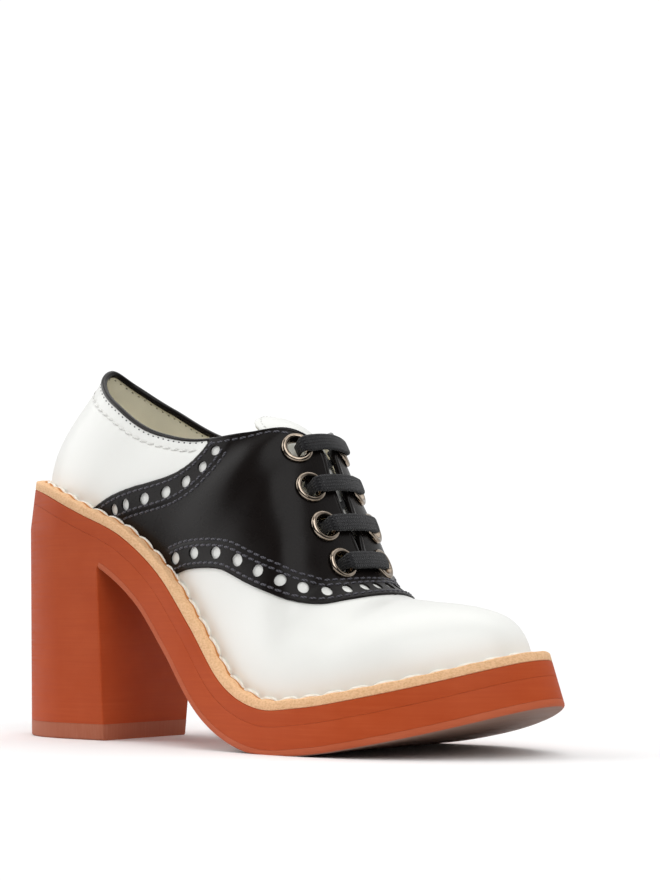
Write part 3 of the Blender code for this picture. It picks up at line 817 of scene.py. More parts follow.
class NodeSheet:
    """A new material and short ways to add nodes to it."""

    def __init__(self, name: str) -> None:
        """Start a material with a Principled shader.

        Args:
            name: name of the material.
        """
        self.material = bpy.data.materials.new(name)
        self.material.use_nodes = True
        self.tree = self.material.node_tree
        self.shader = self.tree.nodes["Principled BSDF"]
        self.place = self.tree.nodes.new("ShaderNodeTexCoord")

    def set(self, **values: object) -> None:
        """Set the shader's own sockets, with spaces written as underscores."""
        for name, value in values.items():
            self.shader.inputs[name.replace("_", " ")].default_value = value

    def drive(self, socket: str, source: Socket) -> None:
        """Link a pattern to one of the shader's sockets."""
        self.tree.links.new(source, self.shader.inputs[socket])

    def add(self, kind: str, links: Optional[dict] = None, values: Optional[dict] = None,
            **settings: object) -> bpy.types.Node:
        """Add a node.

        Args:
            kind: node type without its ShaderNode prefix.
            links: source socket for each input.
            values: value for each input.
            settings: the node's own properties.
        Returns:
            The node.
        """
        node = self.tree.nodes.new("ShaderNode" + kind)
        for name, value in settings.items():
            setattr(node, name, value)
        for key, value in (values or {}).items():
            node.inputs[key].default_value = value
        for key, source in (links or {}).items():
            self.tree.links.new(source, node.inputs[key])
        return node

    def noise(self, size: float, detail: float = 2.0, stretch: Sequence[float] = (1, 1, 1)) -> Socket:
        """Cloudy pattern.

        Args:
            size: size of a cloud in millimetres.
            detail: octaves of finer cloud.
            stretch: how much longer the clouds are along each axis.
        Returns:
            The pattern's factor.
        """
        scale = [1 / s for s in stretch]
        mapping = self.add("Mapping", {"Vector": self.place.outputs["Object"]}, {"Scale": scale})
        node = self.add("TexNoise", {"Vector": mapping.outputs["Vector"]},
                        {"Scale": 1 / (size * MM), "Detail": detail, "Roughness": CLOUD_ROUGHNESS})
        return node.outputs["Fac"]

    def cells(self, size: float) -> Socket:
        """Pebbled pattern, with cells of a size in millimetres."""
        node = self.add("TexVoronoi", {"Vector": self.place.outputs["Object"]},
                        {"Scale": 1 / (size * MM)}, feature="SMOOTH_F1")
        return node.outputs["Distance"]

    def bands(self, count: float, turn: float) -> Socket:
        """Bands over the UV map.

        Args:
            count: bands for each UV unit.
            turn: angle of the bands in degrees.
        Returns:
            The pattern's factor.
        """
        mapping = self.add("Mapping", {"Vector": self.place.outputs["UV"]},
                           {"Rotation": (0, 0, math.radians(turn))})
        node = self.add("TexWave", {"Vector": mapping.outputs["Vector"]}, {"Scale": count},
                        bands_direction="X", wave_profile="SIN")
        return node.outputs["Fac"]

    def axis(self, vector: Socket, name: str) -> Socket:
        """One part of a vector."""
        return self.add("SeparateXYZ", {"Vector": vector}).outputs[name]

    def math(self, operation: str, first: Socket, second: float) -> Socket:
        """A pattern worked on with a number."""
        return self.add("Math", {0: first}, {1: second}, operation=operation).outputs["Value"]

    def tint(self, factor: Socket, under: Socket, colour: Colour) -> Socket:
        """Lay a colour over another, as much of it as the factor says."""
        node = self.add("MixRGB", {"Fac": factor, "Color1": under}, {"Color2": (*colour, 1.0)})
        return node.outputs["Color"]

    def between(self, factor: Socket, low: float, high: float,
                start: float = LOW_CLOUD, end: float = HIGH_CLOUD) -> Socket:
        """Map a pattern, from where it counts as low to where it counts as high, to a range of values."""
        node = self.add("MapRange", {"Value": factor},
                        {"From Min": start, "From Max": end, "To Min": low, "To Max": high})
        return node.outputs["Result"]

    def sum(self, first: Socket, second: Socket, operation: str = "ADD") -> Socket:
        """Two patterns put together, added up where nothing else is said."""
        return self.add("Math", {0: first, 1: second}, operation=operation).outputs["Value"]

    def colours(self, factor: Socket, low: Colour, high: Colour,
                start: float = LOW_CLOUD, end: float = HIGH_CLOUD) -> Socket:
        """Mix two colours by a pattern.

        Args:
            factor: the pattern.
            low: colour where it is low.
            high: colour where it is high.
            start: where the pattern counts as low.
            end: where it counts as high.
        Returns:
            The colour.
        """
        node = self.add("ValToRGB", {"Fac": factor})
        node.color_ramp.elements[0].position = start
        node.color_ramp.elements[0].color = (*low, 1.0)
        node.color_ramp.elements[1].position = end
        node.color_ramp.elements[1].color = (*high, 1.0)
        return node.outputs["Color"]

    def relief(self, height: Socket, depth: float, under: Optional[Socket] = None) -> Socket:
        """Bump from a pattern.

        Args:
            height: the pattern.
            depth: height of its relief in millimetres.
            under: normal of a coarser relief below it.
        Returns:
            The normal.
        """
        links = {"Height": height}
        if under is not None:
            links["Normal"] = under
        return self.add("Bump", links, {"Distance": depth * MM, "Strength": 1.0}).outputs["Normal"]


def shade(colour: Colour, factor: float) -> Colour:
    """A colour made darker or lighter."""
    return tuple(min(1.0, part * factor) for part in colour)


@dataclass(frozen=True)
class Leather:
    """Leather with mottled colour, fine grain and soft unevenness."""

    name: str
    slot: Slot
    colour: Colour
    roughness: Pair
    grain: float
    grain_depth: float
    mottle: float = 0.96
    wave_depth: float = 0.10
    coat: float = 0.0
    coat_roughness: float = 0.12
    coat_ior: float = 1.5
    gloss: float = 0.5
    cloud: float = 22.0
    patch: float = 6.0
    wave: float = 13.0
    pore_share: float = 0.4

    def make(self) -> Material:
        """Make the material.

        Returns:
            The material.
        """
        sheet = NodeSheet(self.name)
        clouds = sheet.noise(self.cloud, detail=3.0)
        sheet.drive("Base Color", sheet.colours(clouds, shade(self.colour, self.mottle), self.colour))
        sheet.drive("Roughness", sheet.between(sheet.noise(self.patch, detail=4.0), *self.roughness))
        waves = sheet.relief(sheet.noise(self.wave, detail=1.0), self.wave_depth)
        pores = sheet.sum(sheet.cells(self.grain), sheet.noise(self.grain * self.pore_share))
        sheet.drive("Normal", sheet.relief(pores, self.grain_depth, waves))
        sheet.set(Coat_Weight=self.coat, Coat_Roughness=self.coat_roughness, Coat_IOR=self.coat_ior,
                  Specular_IOR_Level=self.gloss)
        return sheet.material


@dataclass(frozen=True)
class Rubber:
    """Moulded rubber with fine speckle and faint drawn lines."""

    name: str
    slot: Slot
    colour: Colour
    pale: Colour
    roughness: Pair = (0.50, 0.68)
    drawn: Triple = (30, 30, 1)
    tread: Optional[Colour] = None
    tread_span: Pair = (-0.93, -0.70)
    line: float = 0.9
    line_depth: float = 0.012
    cloud: float = 16.0
    pale_span: Pair = (0.03, 0.58)
    speckle: float = 0.35
    speckle_depth: float = 0.020
    gloss: float = 0.13

    def make(self) -> Material:
        """Make the material.

        Returns:
            The material.
        """
        sheet = NodeSheet(self.name)
        lines = sheet.noise(self.line, detail=3.0, stretch=self.drawn)
        clouds = sheet.sum(sheet.noise(self.cloud, detail=3.0), lines, "MULTIPLY")
        colour = sheet.colours(clouds, self.colour, self.pale, *self.pale_span)
        if self.tread:
            facing = sheet.axis(sheet.add("NewGeometry").outputs["Normal"], "Z")
            colour = sheet.tint(sheet.between(facing, 1.0, 0.0, *self.tread_span), colour, self.tread)
        sheet.drive("Base Color", colour)
        sheet.drive("Roughness", sheet.between(lines, *self.roughness))
        coarse = sheet.relief(lines, self.line_depth)
        sheet.drive("Normal", sheet.relief(sheet.noise(self.speckle), self.speckle_depth, coarse))
        sheet.set(Specular_IOR_Level=self.gloss)
        return sheet.material


@dataclass(frozen=True)
class RawEdge:
    """Raw cut leather with open fibres."""

    name: str
    slot: Slot
    colour: Colour
    fibre: Colour
    # Colour and inset span of the painted shade in the corner where the welt meets the upper
    painted_corner_shade: Colour
    painted_corner_shade_span: Pair
    fibre_size: float = 0.55
    fibre_stretch: Triple = (1.6, 1.6, 1.0)
    fibre_span: Pair = (0.30, 0.58)
    fibre_depth: float = 0.16
    roughness: float = 0.78
    gloss: float = 0.25

    def make(self) -> Material:
        """Make the material, with painted shade: darker where the inset in the UV map lies towards the
        welt's inner edge by the upper.

        Returns:
            The material.
        """
        sheet = NodeSheet(self.name)
        fibres = sheet.noise(self.fibre_size, detail=4.0, stretch=self.fibre_stretch)
        colour = sheet.colours(fibres, self.fibre, self.colour, *self.fibre_span)
        inset = sheet.axis(sheet.place.outputs["UV"], "Y")
        # Painted shade: a darker orange-brown laid over the welt's top towards the upper, where shade falls
        # in that corner
        sheet.drive("Base Color", sheet.tint(sheet.between(inset, 0.0, 1.0, *self.painted_corner_shade_span),
                                             colour, self.painted_corner_shade))
        sheet.drive("Normal", sheet.relief(fibres, self.fibre_depth))
        sheet.set(Roughness=self.roughness, Specular_IOR_Level=self.gloss)
        return sheet.material


@dataclass(frozen=True)
class Metal:
    """Polished plated metal with slight tarnish."""

    name: str
    slot: Slot
    colour: Colour
    tarnish: Colour
    cloud: float = 2.2
    haze: float = 0.8
    roughness: Pair = (0.07, 0.13)

    def make(self) -> Material:
        """Make the material.

        Returns:
            The material.
        """
        sheet = NodeSheet(self.name)
        clouds = sheet.noise(self.cloud, detail=3.0)
        sheet.drive("Base Color", sheet.colours(clouds, self.tarnish, self.colour))
        sheet.drive("Roughness", sheet.between(sheet.noise(self.haze, detail=3.0), *self.roughness))
        sheet.set(Metallic=1.0)
        return sheet.material


@dataclass(frozen=True)
class Braid:
    """Flat braided cotton, its ribs along the lace and its yarns slanted across them."""

    name: str
    slot: Slot
    colour: Colour
    worn: Colour
    ribs: int = 5
    slant: float = 1.3
    yarns: float = 6.0
    yarn_floor: float = 0.2
    rib_floor: float = 0.25
    rib_shoulder: float = 0.35
    braid_depth: float = 0.20
    fuzz: float = 0.30
    fuzz_floor: float = 0.1
    fuzz_span: Pair = (0.42, 0.66)
    fuzz_depth: float = 0.22
    worn_span: Pair = (0.05, 0.75)
    roughness: float = 0.9
    gloss: float = 0.15
    sheen: float = 0.2
    sheen_roughness: float = 0.5

    def make(self) -> Material:
        """Make the material: ribs along the lace, each of slanted yarns that meet in a row of chevrons.

        Returns:
            The material.
        """
        sheet = NodeSheet(self.name)
        place = sheet.place.outputs["UV"]
        rib = sheet.math("PINGPONG", sheet.axis(place, "Y"), 0.5 / self.ribs)
        leaning = sheet.sum(sheet.axis(place, "X"), sheet.math("MULTIPLY", rib, self.slant))
        yarn = sheet.math("SINE", sheet.math("MULTIPLY", leaning, 2 * math.pi * self.yarns), 0.0)
        crown = sheet.between(rib, self.rib_floor, 1.0, 0.0, self.rib_shoulder / self.ribs)
        braid = sheet.sum(sheet.between(yarn, self.yarn_floor, 1.0, -1.0, 1.0), crown, "MULTIPLY")
        fuzz = sheet.noise(self.fuzz, detail=3.0)
        specks = sheet.sum(braid, sheet.between(fuzz, self.fuzz_floor, 1.0, *self.fuzz_span), "MULTIPLY")
        sheet.drive("Base Color", sheet.colours(specks, self.colour, self.worn, *self.worn_span))
        ribbed = sheet.relief(braid, self.braid_depth)
        sheet.drive("Normal", sheet.relief(fuzz, self.fuzz_depth, ribbed))
        sheet.set(Roughness=self.roughness, Specular_IOR_Level=self.gloss, Sheen_Weight=self.sheen,
                  Sheen_Roughness=self.sheen_roughness)
        return sheet.material


@dataclass(frozen=True)
class Thread:
    """Twisted thread, whose plies run round each stitch, with painted shade: a darker colour in the grooves
    between the plies.
    """

    name: str
    slot: Slot
    colour: Colour
    # Colour of the painted shade in the grooves between the plies
    dip: Colour
    roughness: float = 0.6
    plies: float = 1.3
    ply_turn: float = 35.0
    ply_span: Pair = (0.05, 0.6)
    ply_depth: float = 0.10
    gloss: float = 0.3

    def make(self) -> Material:
        """Make the material.

        Returns:
            The material.
        """
        sheet = NodeSheet(self.name)
        plies = sheet.bands(self.plies, self.ply_turn)
        # Painted shade: the colour darkens into the grooves between the plies, following their relief
        sheet.drive("Base Color", sheet.colours(plies, self.dip, self.colour, *self.ply_span))
        sheet.drive("Normal", sheet.relief(plies, self.ply_depth))
        sheet.set(Roughness=self.roughness, Specular_IOR_Level=self.gloss)
        return sheet.material


@dataclass(frozen=True)
class Paper:
    """Plain pale floor that fades into the white room away from the shoe."""

    name: str
    colour: Colour
    fade: Pair = (0.16, 0.42)
    cloud: float = 90.0
    mottle: float = 0.985
    roughness: float = 0.75
    gloss: float = 0.1

    def make(self) -> Material:
        """Make the material.

        Returns:
            The material.
        """
        sheet = NodeSheet(self.name)
        clouds = sheet.noise(self.cloud)
        sheet.drive("Base Color", sheet.colours(clouds, shade(self.colour, self.mottle), self.colour))
        far = sheet.add("VectorMath", {0: sheet.place.outputs["Object"]}, operation="LENGTH")
        sheet.drive("Alpha", sheet.between(far.outputs["Value"], 1.0, 0.0, *self.fade))
        sheet.set(Roughness=self.roughness, Specular_IOR_Level=self.gloss)
        return sheet.material


Finish = Union[Leather, Rubber, RawEdge, Metal, Braid, Thread]

WHITE_LEATHER = Leather("white_box_leather", Slot.WHITE, (0.87, 0.875, 0.84), (0.34, 0.38), 0.55, 0.008,
                        mottle=0.985, wave_depth=0.05, coat=0.12, coat_roughness=0.22)
BLACK_LEATHER = Leather("black_box_leather", Slot.BLACK, (0.0085, 0.0066, 0.0061), (0.25, 0.31), 0.50, 0.010,
                        mottle=0.85, wave_depth=0.05, gloss=0.11)
BINDING_LEATHER = Leather("glazed_binding", Slot.BLACK, (0.009, 0.0072, 0.0068), (0.16, 0.20), 0.45, 0.006,
                          mottle=0.85, wave_depth=0.04, coat=1.0, coat_roughness=0.06, coat_ior=1.09,
                          gloss=0.12)
LINING_LEATHER = Leather("grey_lining", Slot.INSOLE, (0.93, 0.89, 0.745), (0.62, 0.8), 0.60, 0.060,
                         mottle=0.86, wave_depth=0.14)
RUST_RUBBER = Rubber("rust_rubber", Slot.RUST_SOLE, (0.40, 0.056, 0.0115), (0.48, 0.088, 0.026))
# Outsole rubber: its paler colour is painted sheen, standing in for grazing light on the bevelled bottom
# edge; faces that look down take the tread colour
PAINTED_SHEEN_RUST_RUBBER = Rubber("outsole_rust_rubber_painted_sheen", Slot.RUST_SOLE, (0.43, 0.085, 0.030), (0.50, 0.13, 0.062),
                          tread=(0.24, 0.150, 0.118))
TIP_RUBBER = Rubber("heel_tip_rubber", Slot.HEEL_TIP, (0.36, 0.100, 0.050), (0.44, 0.16, 0.095),
                    drawn=(1, 1, 30))
# The welt's darker colour towards the upper is painted shade in the corner between welt and upper
RAW_WELT = RawEdge("raw_welt_leather", Slot.WELT, (0.86, 0.545, 0.31), (0.70, 0.40, 0.20),
                   painted_corner_shade=(0.55, 0.20, 0.045), painted_corner_shade_span=(3.0, 3.5))
NICKEL = Metal("aged_nickel", Slot.METAL, (0.41, 0.345, 0.28), (0.22, 0.175, 0.134))
BLACK_BRAID = Braid("black_braid", Slot.LACE, (0.004, 0.004, 0.005), (0.052, 0.052, 0.056))
BLACK_THREAD = Thread("black_thread", Slot.BLACK, (0.105, 0.102, 0.122), (0.020, 0.019, 0.022), 0.5)
GREY_THREAD = Thread("grey_thread", Slot.INSOLE, (0.34, 0.31, 0.22), (0.24, 0.22, 0.15))
WHITE_THREAD = Thread("white_thread", Slot.WHITE, (0.86, 0.86, 0.825), (0.80, 0.80, 0.765))
CREAM_THREAD = Thread("cream_thread", Slot.WELT, (0.90, 0.87, 0.79), (0.83, 0.77, 0.65))
FLOOR_PAPER = Paper("pale_floor", (0.93, 0.93, 0.93))


class Workshop:
    """Hands out each finish once and hangs finished pieces on the shoe."""

    def __init__(self) -> None:
        """Start with no materials made."""
        self.materials: dict[str, Material] = {}

    def material(self, finish: Union[Finish, Paper]) -> Material:
        """The material of a finish, made on first use.

        Args:
            finish: the finish.
        Returns:
            Its material.
        """
        if finish.name not in self.materials:
            self.materials[finish.name] = finish.make()
        return self.materials[finish.name]

    def dress(self, piece: Thing, finish: Finish, *nodes: str) -> None:
        """Give a piece its finish and its place in the frame.

        Args:
            piece: the finished piece.
            finish: its finish.
            nodes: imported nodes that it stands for.
        """
        piece.data.materials.clear()
        piece.data.materials.append(self.material(finish))
        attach(piece, BODY)
        if nodes:
            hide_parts(*nodes)
        log.info("%s: %d faces", piece.name, len(piece.data.polygons))


# Stitches

@dataclass(frozen=True)
class Stitch:
    """One stitch of a row: a grain of thread whose ends dip into the leather."""

    length: float
    width: float
    height: float
    pitch: float
    lean: float = 0.0
    shape: tuple[Triple, ...] = (
        (-0.50, 0.35, -0.9), (-0.36, 0.85, 0.0), (0.0, 1.0, 0.25), (0.36, 0.85, 0.0), (0.50, 0.35, -0.9))
    sides: int = 6

    def row(self, name: str, lines: Sequence[Line]) -> Thing:
        """Stitches along one or more lines, as one piece.

        Args:
            name: name of the piece.
            lines: points and upward directions of each line.
        Returns:
            The new object.
        """
        frames = [evenly(points, up, self.pitch) for points, up in lines]
        middle, ahead, up = (np.concatenate(parts)[:, None, :] for parts in zip(*frames))
        beside = np.cross(up, ahead)
        lean = math.radians(self.lean)
        ahead, beside = (ahead * math.cos(lean) + beside * math.sin(lean),
                         beside * math.cos(lean) - ahead * math.sin(lean))
        angle = np.arange(self.sides) * 2 * math.pi / self.sides
        along, thick, rise = (np.repeat(column, self.sides)[None, :, None] for column in zip(*self.shape))
        turn = np.tile(angle, len(self.shape))[None, :, None]
        points = (middle + ahead * along * self.length + beside * np.cos(turn) * thick * self.width / 2
                  + up * (np.sin(turn) * thick + rise) * self.height / 2)
        rings = len(self.shape)
        one = tube_faces(rings, self.sides, False)
        size = rings * self.sides
        faces = [tuple(corner + n * size for corner in face) for n in range(len(middle)) for face in one]
        mesh = bpy.data.meshes.new(name)
        mesh.from_pydata(to_model(points.reshape(-1, 3)).tolist(), [], faces)
        piece = hang(name, mesh)
        bpy.ops.object.shade_smooth()
        corner = np.arange(len(mesh.vertices))
        share = corner % size // self.sides / (rings - 1.0)
        lay_uv(piece, np.stack((share, corner % self.sides / self.sides), axis=-1))
        return piece


# Sole

@dataclass
class Sole:
    """Midsole, platform, outsole, heel block and its wear piece."""

    workshop: Workshop
    midsole: float = 5.5
    platform: float = 7.1
    outsole: float = 2.5
    joint: float = 0.03
    edge: float = 0.55
    heel_seam: float = 0.08
    outsole_edge: float = 1.3
    cells: int = 150
    breast: float = 62.0
    heel_floor_back: float = -1.0
    heel_floor_breast: float = 53.7
    heel_floor_half_width: float = 23.3
    heel_floor_round: float = 34.0
    top_piece: float = 6.0
    heel_cells: int = 60
    heel_rows: int = 14
    heel_span: Pair = (12.0, 60.0)
    heel_seat: float = -12.0
    seat_edge: float = 0.3
    midsole_edge: float = 0.4
    joint_edge: float = 0.10
    wear_edge: float = 0.5
    sole_edge: float = -1.0

    def edge_profile(self, top: float, bottom: float, top_edge: float, bottom_edge: float) -> list[Pair]:
        """Rounded edge of a layer as pairs of inset and height.

        Args:
            top: height of the layer's top above the bed.
            bottom: height of its bottom.
            top_edge: rounding of the upper edge.
            bottom_edge: rounding of the lower edge.
        Returns:
            Pairs from the top face to the bottom face.
        """
        rows = [(top_edge * (1 - math.sin(t)), top - top_edge * (1 - math.cos(t))) for t in QUARTER]
        rows += [(bottom_edge * (1 - math.cos(t)), bottom + bottom_edge * (1 - math.sin(t)))
                 for t in QUARTER]
        return rows

    def layer(self, name: str, start: float, profile: Sequence[Pair], inset: float = 0.0) -> Thing:
        """One layer of the sole.

        Args:
            name: name of the piece.
            start: place along the shoe where the layer begins.
            profile: pairs of inset and height of its edge, from top to bottom.
            inset: how far the whole layer is set in.
        Returns:
            The new object.
        """
        station = np.linspace(LAST.station_at(start), 1.0, self.cells + 1)
        outer = [LAST.outline(Side.OUTER, station, inset + i, z) for i, z in profile]
        inner = [LAST.outline(Side.INNER, station, inset + i, z) for i, z in profile[::-1]]
        rings = np.stack(outer + inner, axis=1)
        rings[..., 2] = np.maximum(rings[..., 2], 0.0)
        return loft(name, rings)

    def heel_side(self, side: Side, x: Array, height: Array) -> Array:
        """Side of the heel between the sole's lower edge and the floor.

        Args:
            side: side of the shoe.
            x: places along the sole above.
            height: heights above the floor, or less than zero for the sole's lower edge.
        Returns:
            Points on the heel's side.
        """
        depth = self.midsole + self.platform + self.outsole + 2 * LAST.gap
        top = LAST.on_bed(x, LAST.edge_y(side, x), -depth)
        floor_x = self.heel_floor_back + (self.heel_floor_breast - self.heel_floor_back) * x / self.breast
        inward = (floor_x - self.heel_floor_back) / self.heel_floor_round
        width = self.heel_floor_half_width * round_end(inward, LAST.heel_squareness)
        floor = np.stack((floor_x, side * width, np.zeros_like(x)), axis=-1)
        share = np.where(height < 0, 1.0, height / top[..., 2])
        return floor + (top - floor) * share[..., None]

    def heel_stations(self) -> Line:
        """Places along the heel, crowded at its round back and at the breast's rounded corners.

        Returns:
            The places and how far the heel's sides are set in there.
        """
        body = (self.breast - self.edge) * (1 - np.cos(np.linspace(0, math.pi / 2, self.heel_cells + 1)))
        turn = QUARTER[1:]
        corner = self.breast - self.edge + self.edge * np.sin(turn)
        inset = self.edge * (1 - np.cos(turn))
        return np.concatenate((body, corner)), np.concatenate((np.zeros_like(body), inset))

    def heel_rings(self, heights: Sequence[Pair], above: Sequence[float]) -> Array:
        """Sections of the heel.

        Args:
            heights: pairs of inset and height above the floor, upwards.
            above: heights above the bed of the rows that carry on up to the midsole.
        Returns:
            Rings from the back of the heel to its breast.
        """
        x, corner = self.heel_stations()
        sides = {}
        for side in Side:
            rows = [(self.heel_side(side, x, np.full_like(x, height)), inset, corner * (height >= 0))
                    for inset, height in heights]
            rows += [(LAST.on_bed(x, LAST.edge_y(side, x), rise), 0.0, 0 * corner) for rise in above]
            for row, inset, turned in rows:
                row[:, 1] -= side * np.minimum(turned + inset, np.abs(row[:, 1]))
                row[:, 0] += inset * np.clip(1 - x / self.heel_floor_round, 0, 1)
            sides[side] = [row for row, *_ in rows]
        return np.stack(sides[Side.OUTER] + sides[Side.INNER][::-1], axis=1)

    def build(self) -> None:
        """Build and dress every layer."""
        shop = self.workshop
        lower = -self.midsole - self.joint
        bottom = lower - self.platform - 2 * LAST.gap + self.joint
        deep = bottom - self.joint - self.outsole
        profile = self.edge_profile(0.0, -self.midsole, self.midsole_edge, self.joint_edge)
        shop.dress(self.layer("midsole_layer", 0.0, profile), RUST_RUBBER, "midsole")
        profile = self.edge_profile(lower, bottom, self.joint_edge, self.joint_edge)
        shop.dress(self.layer("platform_layer", self.breast, profile), RUST_RUBBER, "platform")
        profile = self.edge_profile(bottom - self.joint, deep, self.joint_edge, self.outsole_edge)
        shop.dress(self.layer("outsole_layer", self.breast, profile), PAINTED_SHEEN_RUST_RUBBER, "outsole")
        foot = self.top_piece + self.joint
        rise = [(self.heel_seam, foot), (0.0, foot + self.heel_seam)]
        rise += [(0.0, z) for z in np.linspace(*self.heel_span, self.heel_rows)]
        rise += [(0.0, self.sole_edge)]
        block = loft("heel_block", self.heel_rings(rise, (self.heel_seat, lower - self.seat_edge, lower)))
        shop.dress(block, RUST_RUBBER, "heel")
        wear = [(self.wear_edge, 0.0), (0.0, self.wear_edge),
                (0.0, self.top_piece - self.heel_seam), (self.heel_seam, self.top_piece)]
        shop.dress(loft("heel_wear_piece", self.heel_rings(wear, ())), TIP_RUBBER, "heel_top_piece")


# Welt

@dataclass
class Welt:
    """Raw leather strip round the upper, and the heavy thread that lies in its corner."""

    workshop: Workshop
    thick: float = 3.2
    edge: float = 0.6
    cells: int = 270
    sink: float = 0.3
    foot_edge: float = 0.25
    top_rows: tuple[float, ...] = (1.6, 2.6, 3.6, 4.6)
    inner_edge: float = 5.9
    inner_drop: float = 0.5
    scallop: float = 0.40
    scallop_reach: float = 3.0
    scallop_least: float = 0.2
    thread: Stitch = Stitch(9.4, 1.8, 1.7, 9.2, lean=4.0, shape=(
        (-0.50, 0.30, -0.9), (-0.42, 0.70, -0.3), (-0.2, 0.97, 0.2), (0.05, 1.0, 0.3),
        (0.28, 0.9, 0.1), (0.43, 0.62, -0.4), (0.52, 0.28, -0.9)), sides=8)
    thread_inset: float = 4.75
    thread_above: float = 2.70
    thread_toe_rise: float = 0.85

    def way_round(self) -> list[tuple[Side, float]]:
        """Pairs of side and station once round the shoe."""
        station = np.linspace(0, 1, self.cells + 1)
        return [(Side.OUTER, s) for s in station] + [(Side.INNER, s) for s in station[-2:0:-1]]

    def line(self, inset: float, above: float, toe_rise: float = 0.0) -> Line:
        """Line round the shoe.

        Args:
            inset: distance in from the sole's edge.
            above: height above the bed.
            toe_rise: how much higher the line lies at the toe.
        Returns:
            Points and upward directions.
        """
        points = np.array([LAST.outline(side, np.asarray(s), inset, above + toe_rise * s)
                           for side, s in self.way_round()])
        points = np.vstack((points, points[:1]))
        return points, LAST.bed_normal(points[:, 0])

    def build(self) -> None:
        """Build and dress the strip and its thread."""
        low = LAST.gap - self.sink
        top = low + self.thick
        profile = [(self.foot_edge, low), (0.0, low + self.foot_edge)]
        profile += [(self.edge * (1 - math.cos(t)), top - self.edge * (1 - math.sin(t))) for t in QUARTER]
        profile += [(inset, top) for inset in self.top_rows]
        profile += [(self.inner_edge, top - self.inner_drop), (self.inner_edge, low)]
        lines = [self.line(inset, above)[0][:-1] for inset, above in profile]
        rings = np.stack(lines, axis=1)
        seam = self.line(self.thread_inset, self.thread_above, self.thread_toe_rise)
        way = way_along(seam[0])
        stitches = round(way[-1] / self.thread.pitch)
        crest = -self.scallop * np.cos(2 * math.pi * stitches * way[:-1] / way[-1])
        normal = LAST.bed_normal(rings[:, 0, 0])
        for row, (inset, above) in enumerate(profile):
            if above > low + self.thick / 2:
                share = np.clip(inset / self.scallop_reach, self.scallop_least, 1.0)
                rings[:, row] += normal * (crest * share)[:, None]
        uv = np.stack(np.broadcast_arrays(way[:-1, None], np.array(profile)[None, :, 0]), axis=-1)
        strip = loft("welt_strip", rings, closed=True, crisp=CRISP_STRIP, uv=uv)
        self.workshop.dress(strip, RAW_WELT, "welt")
        self.workshop.dress(self.thread.row("welt_thread", [seam]), CREAM_THREAD)


# Upper

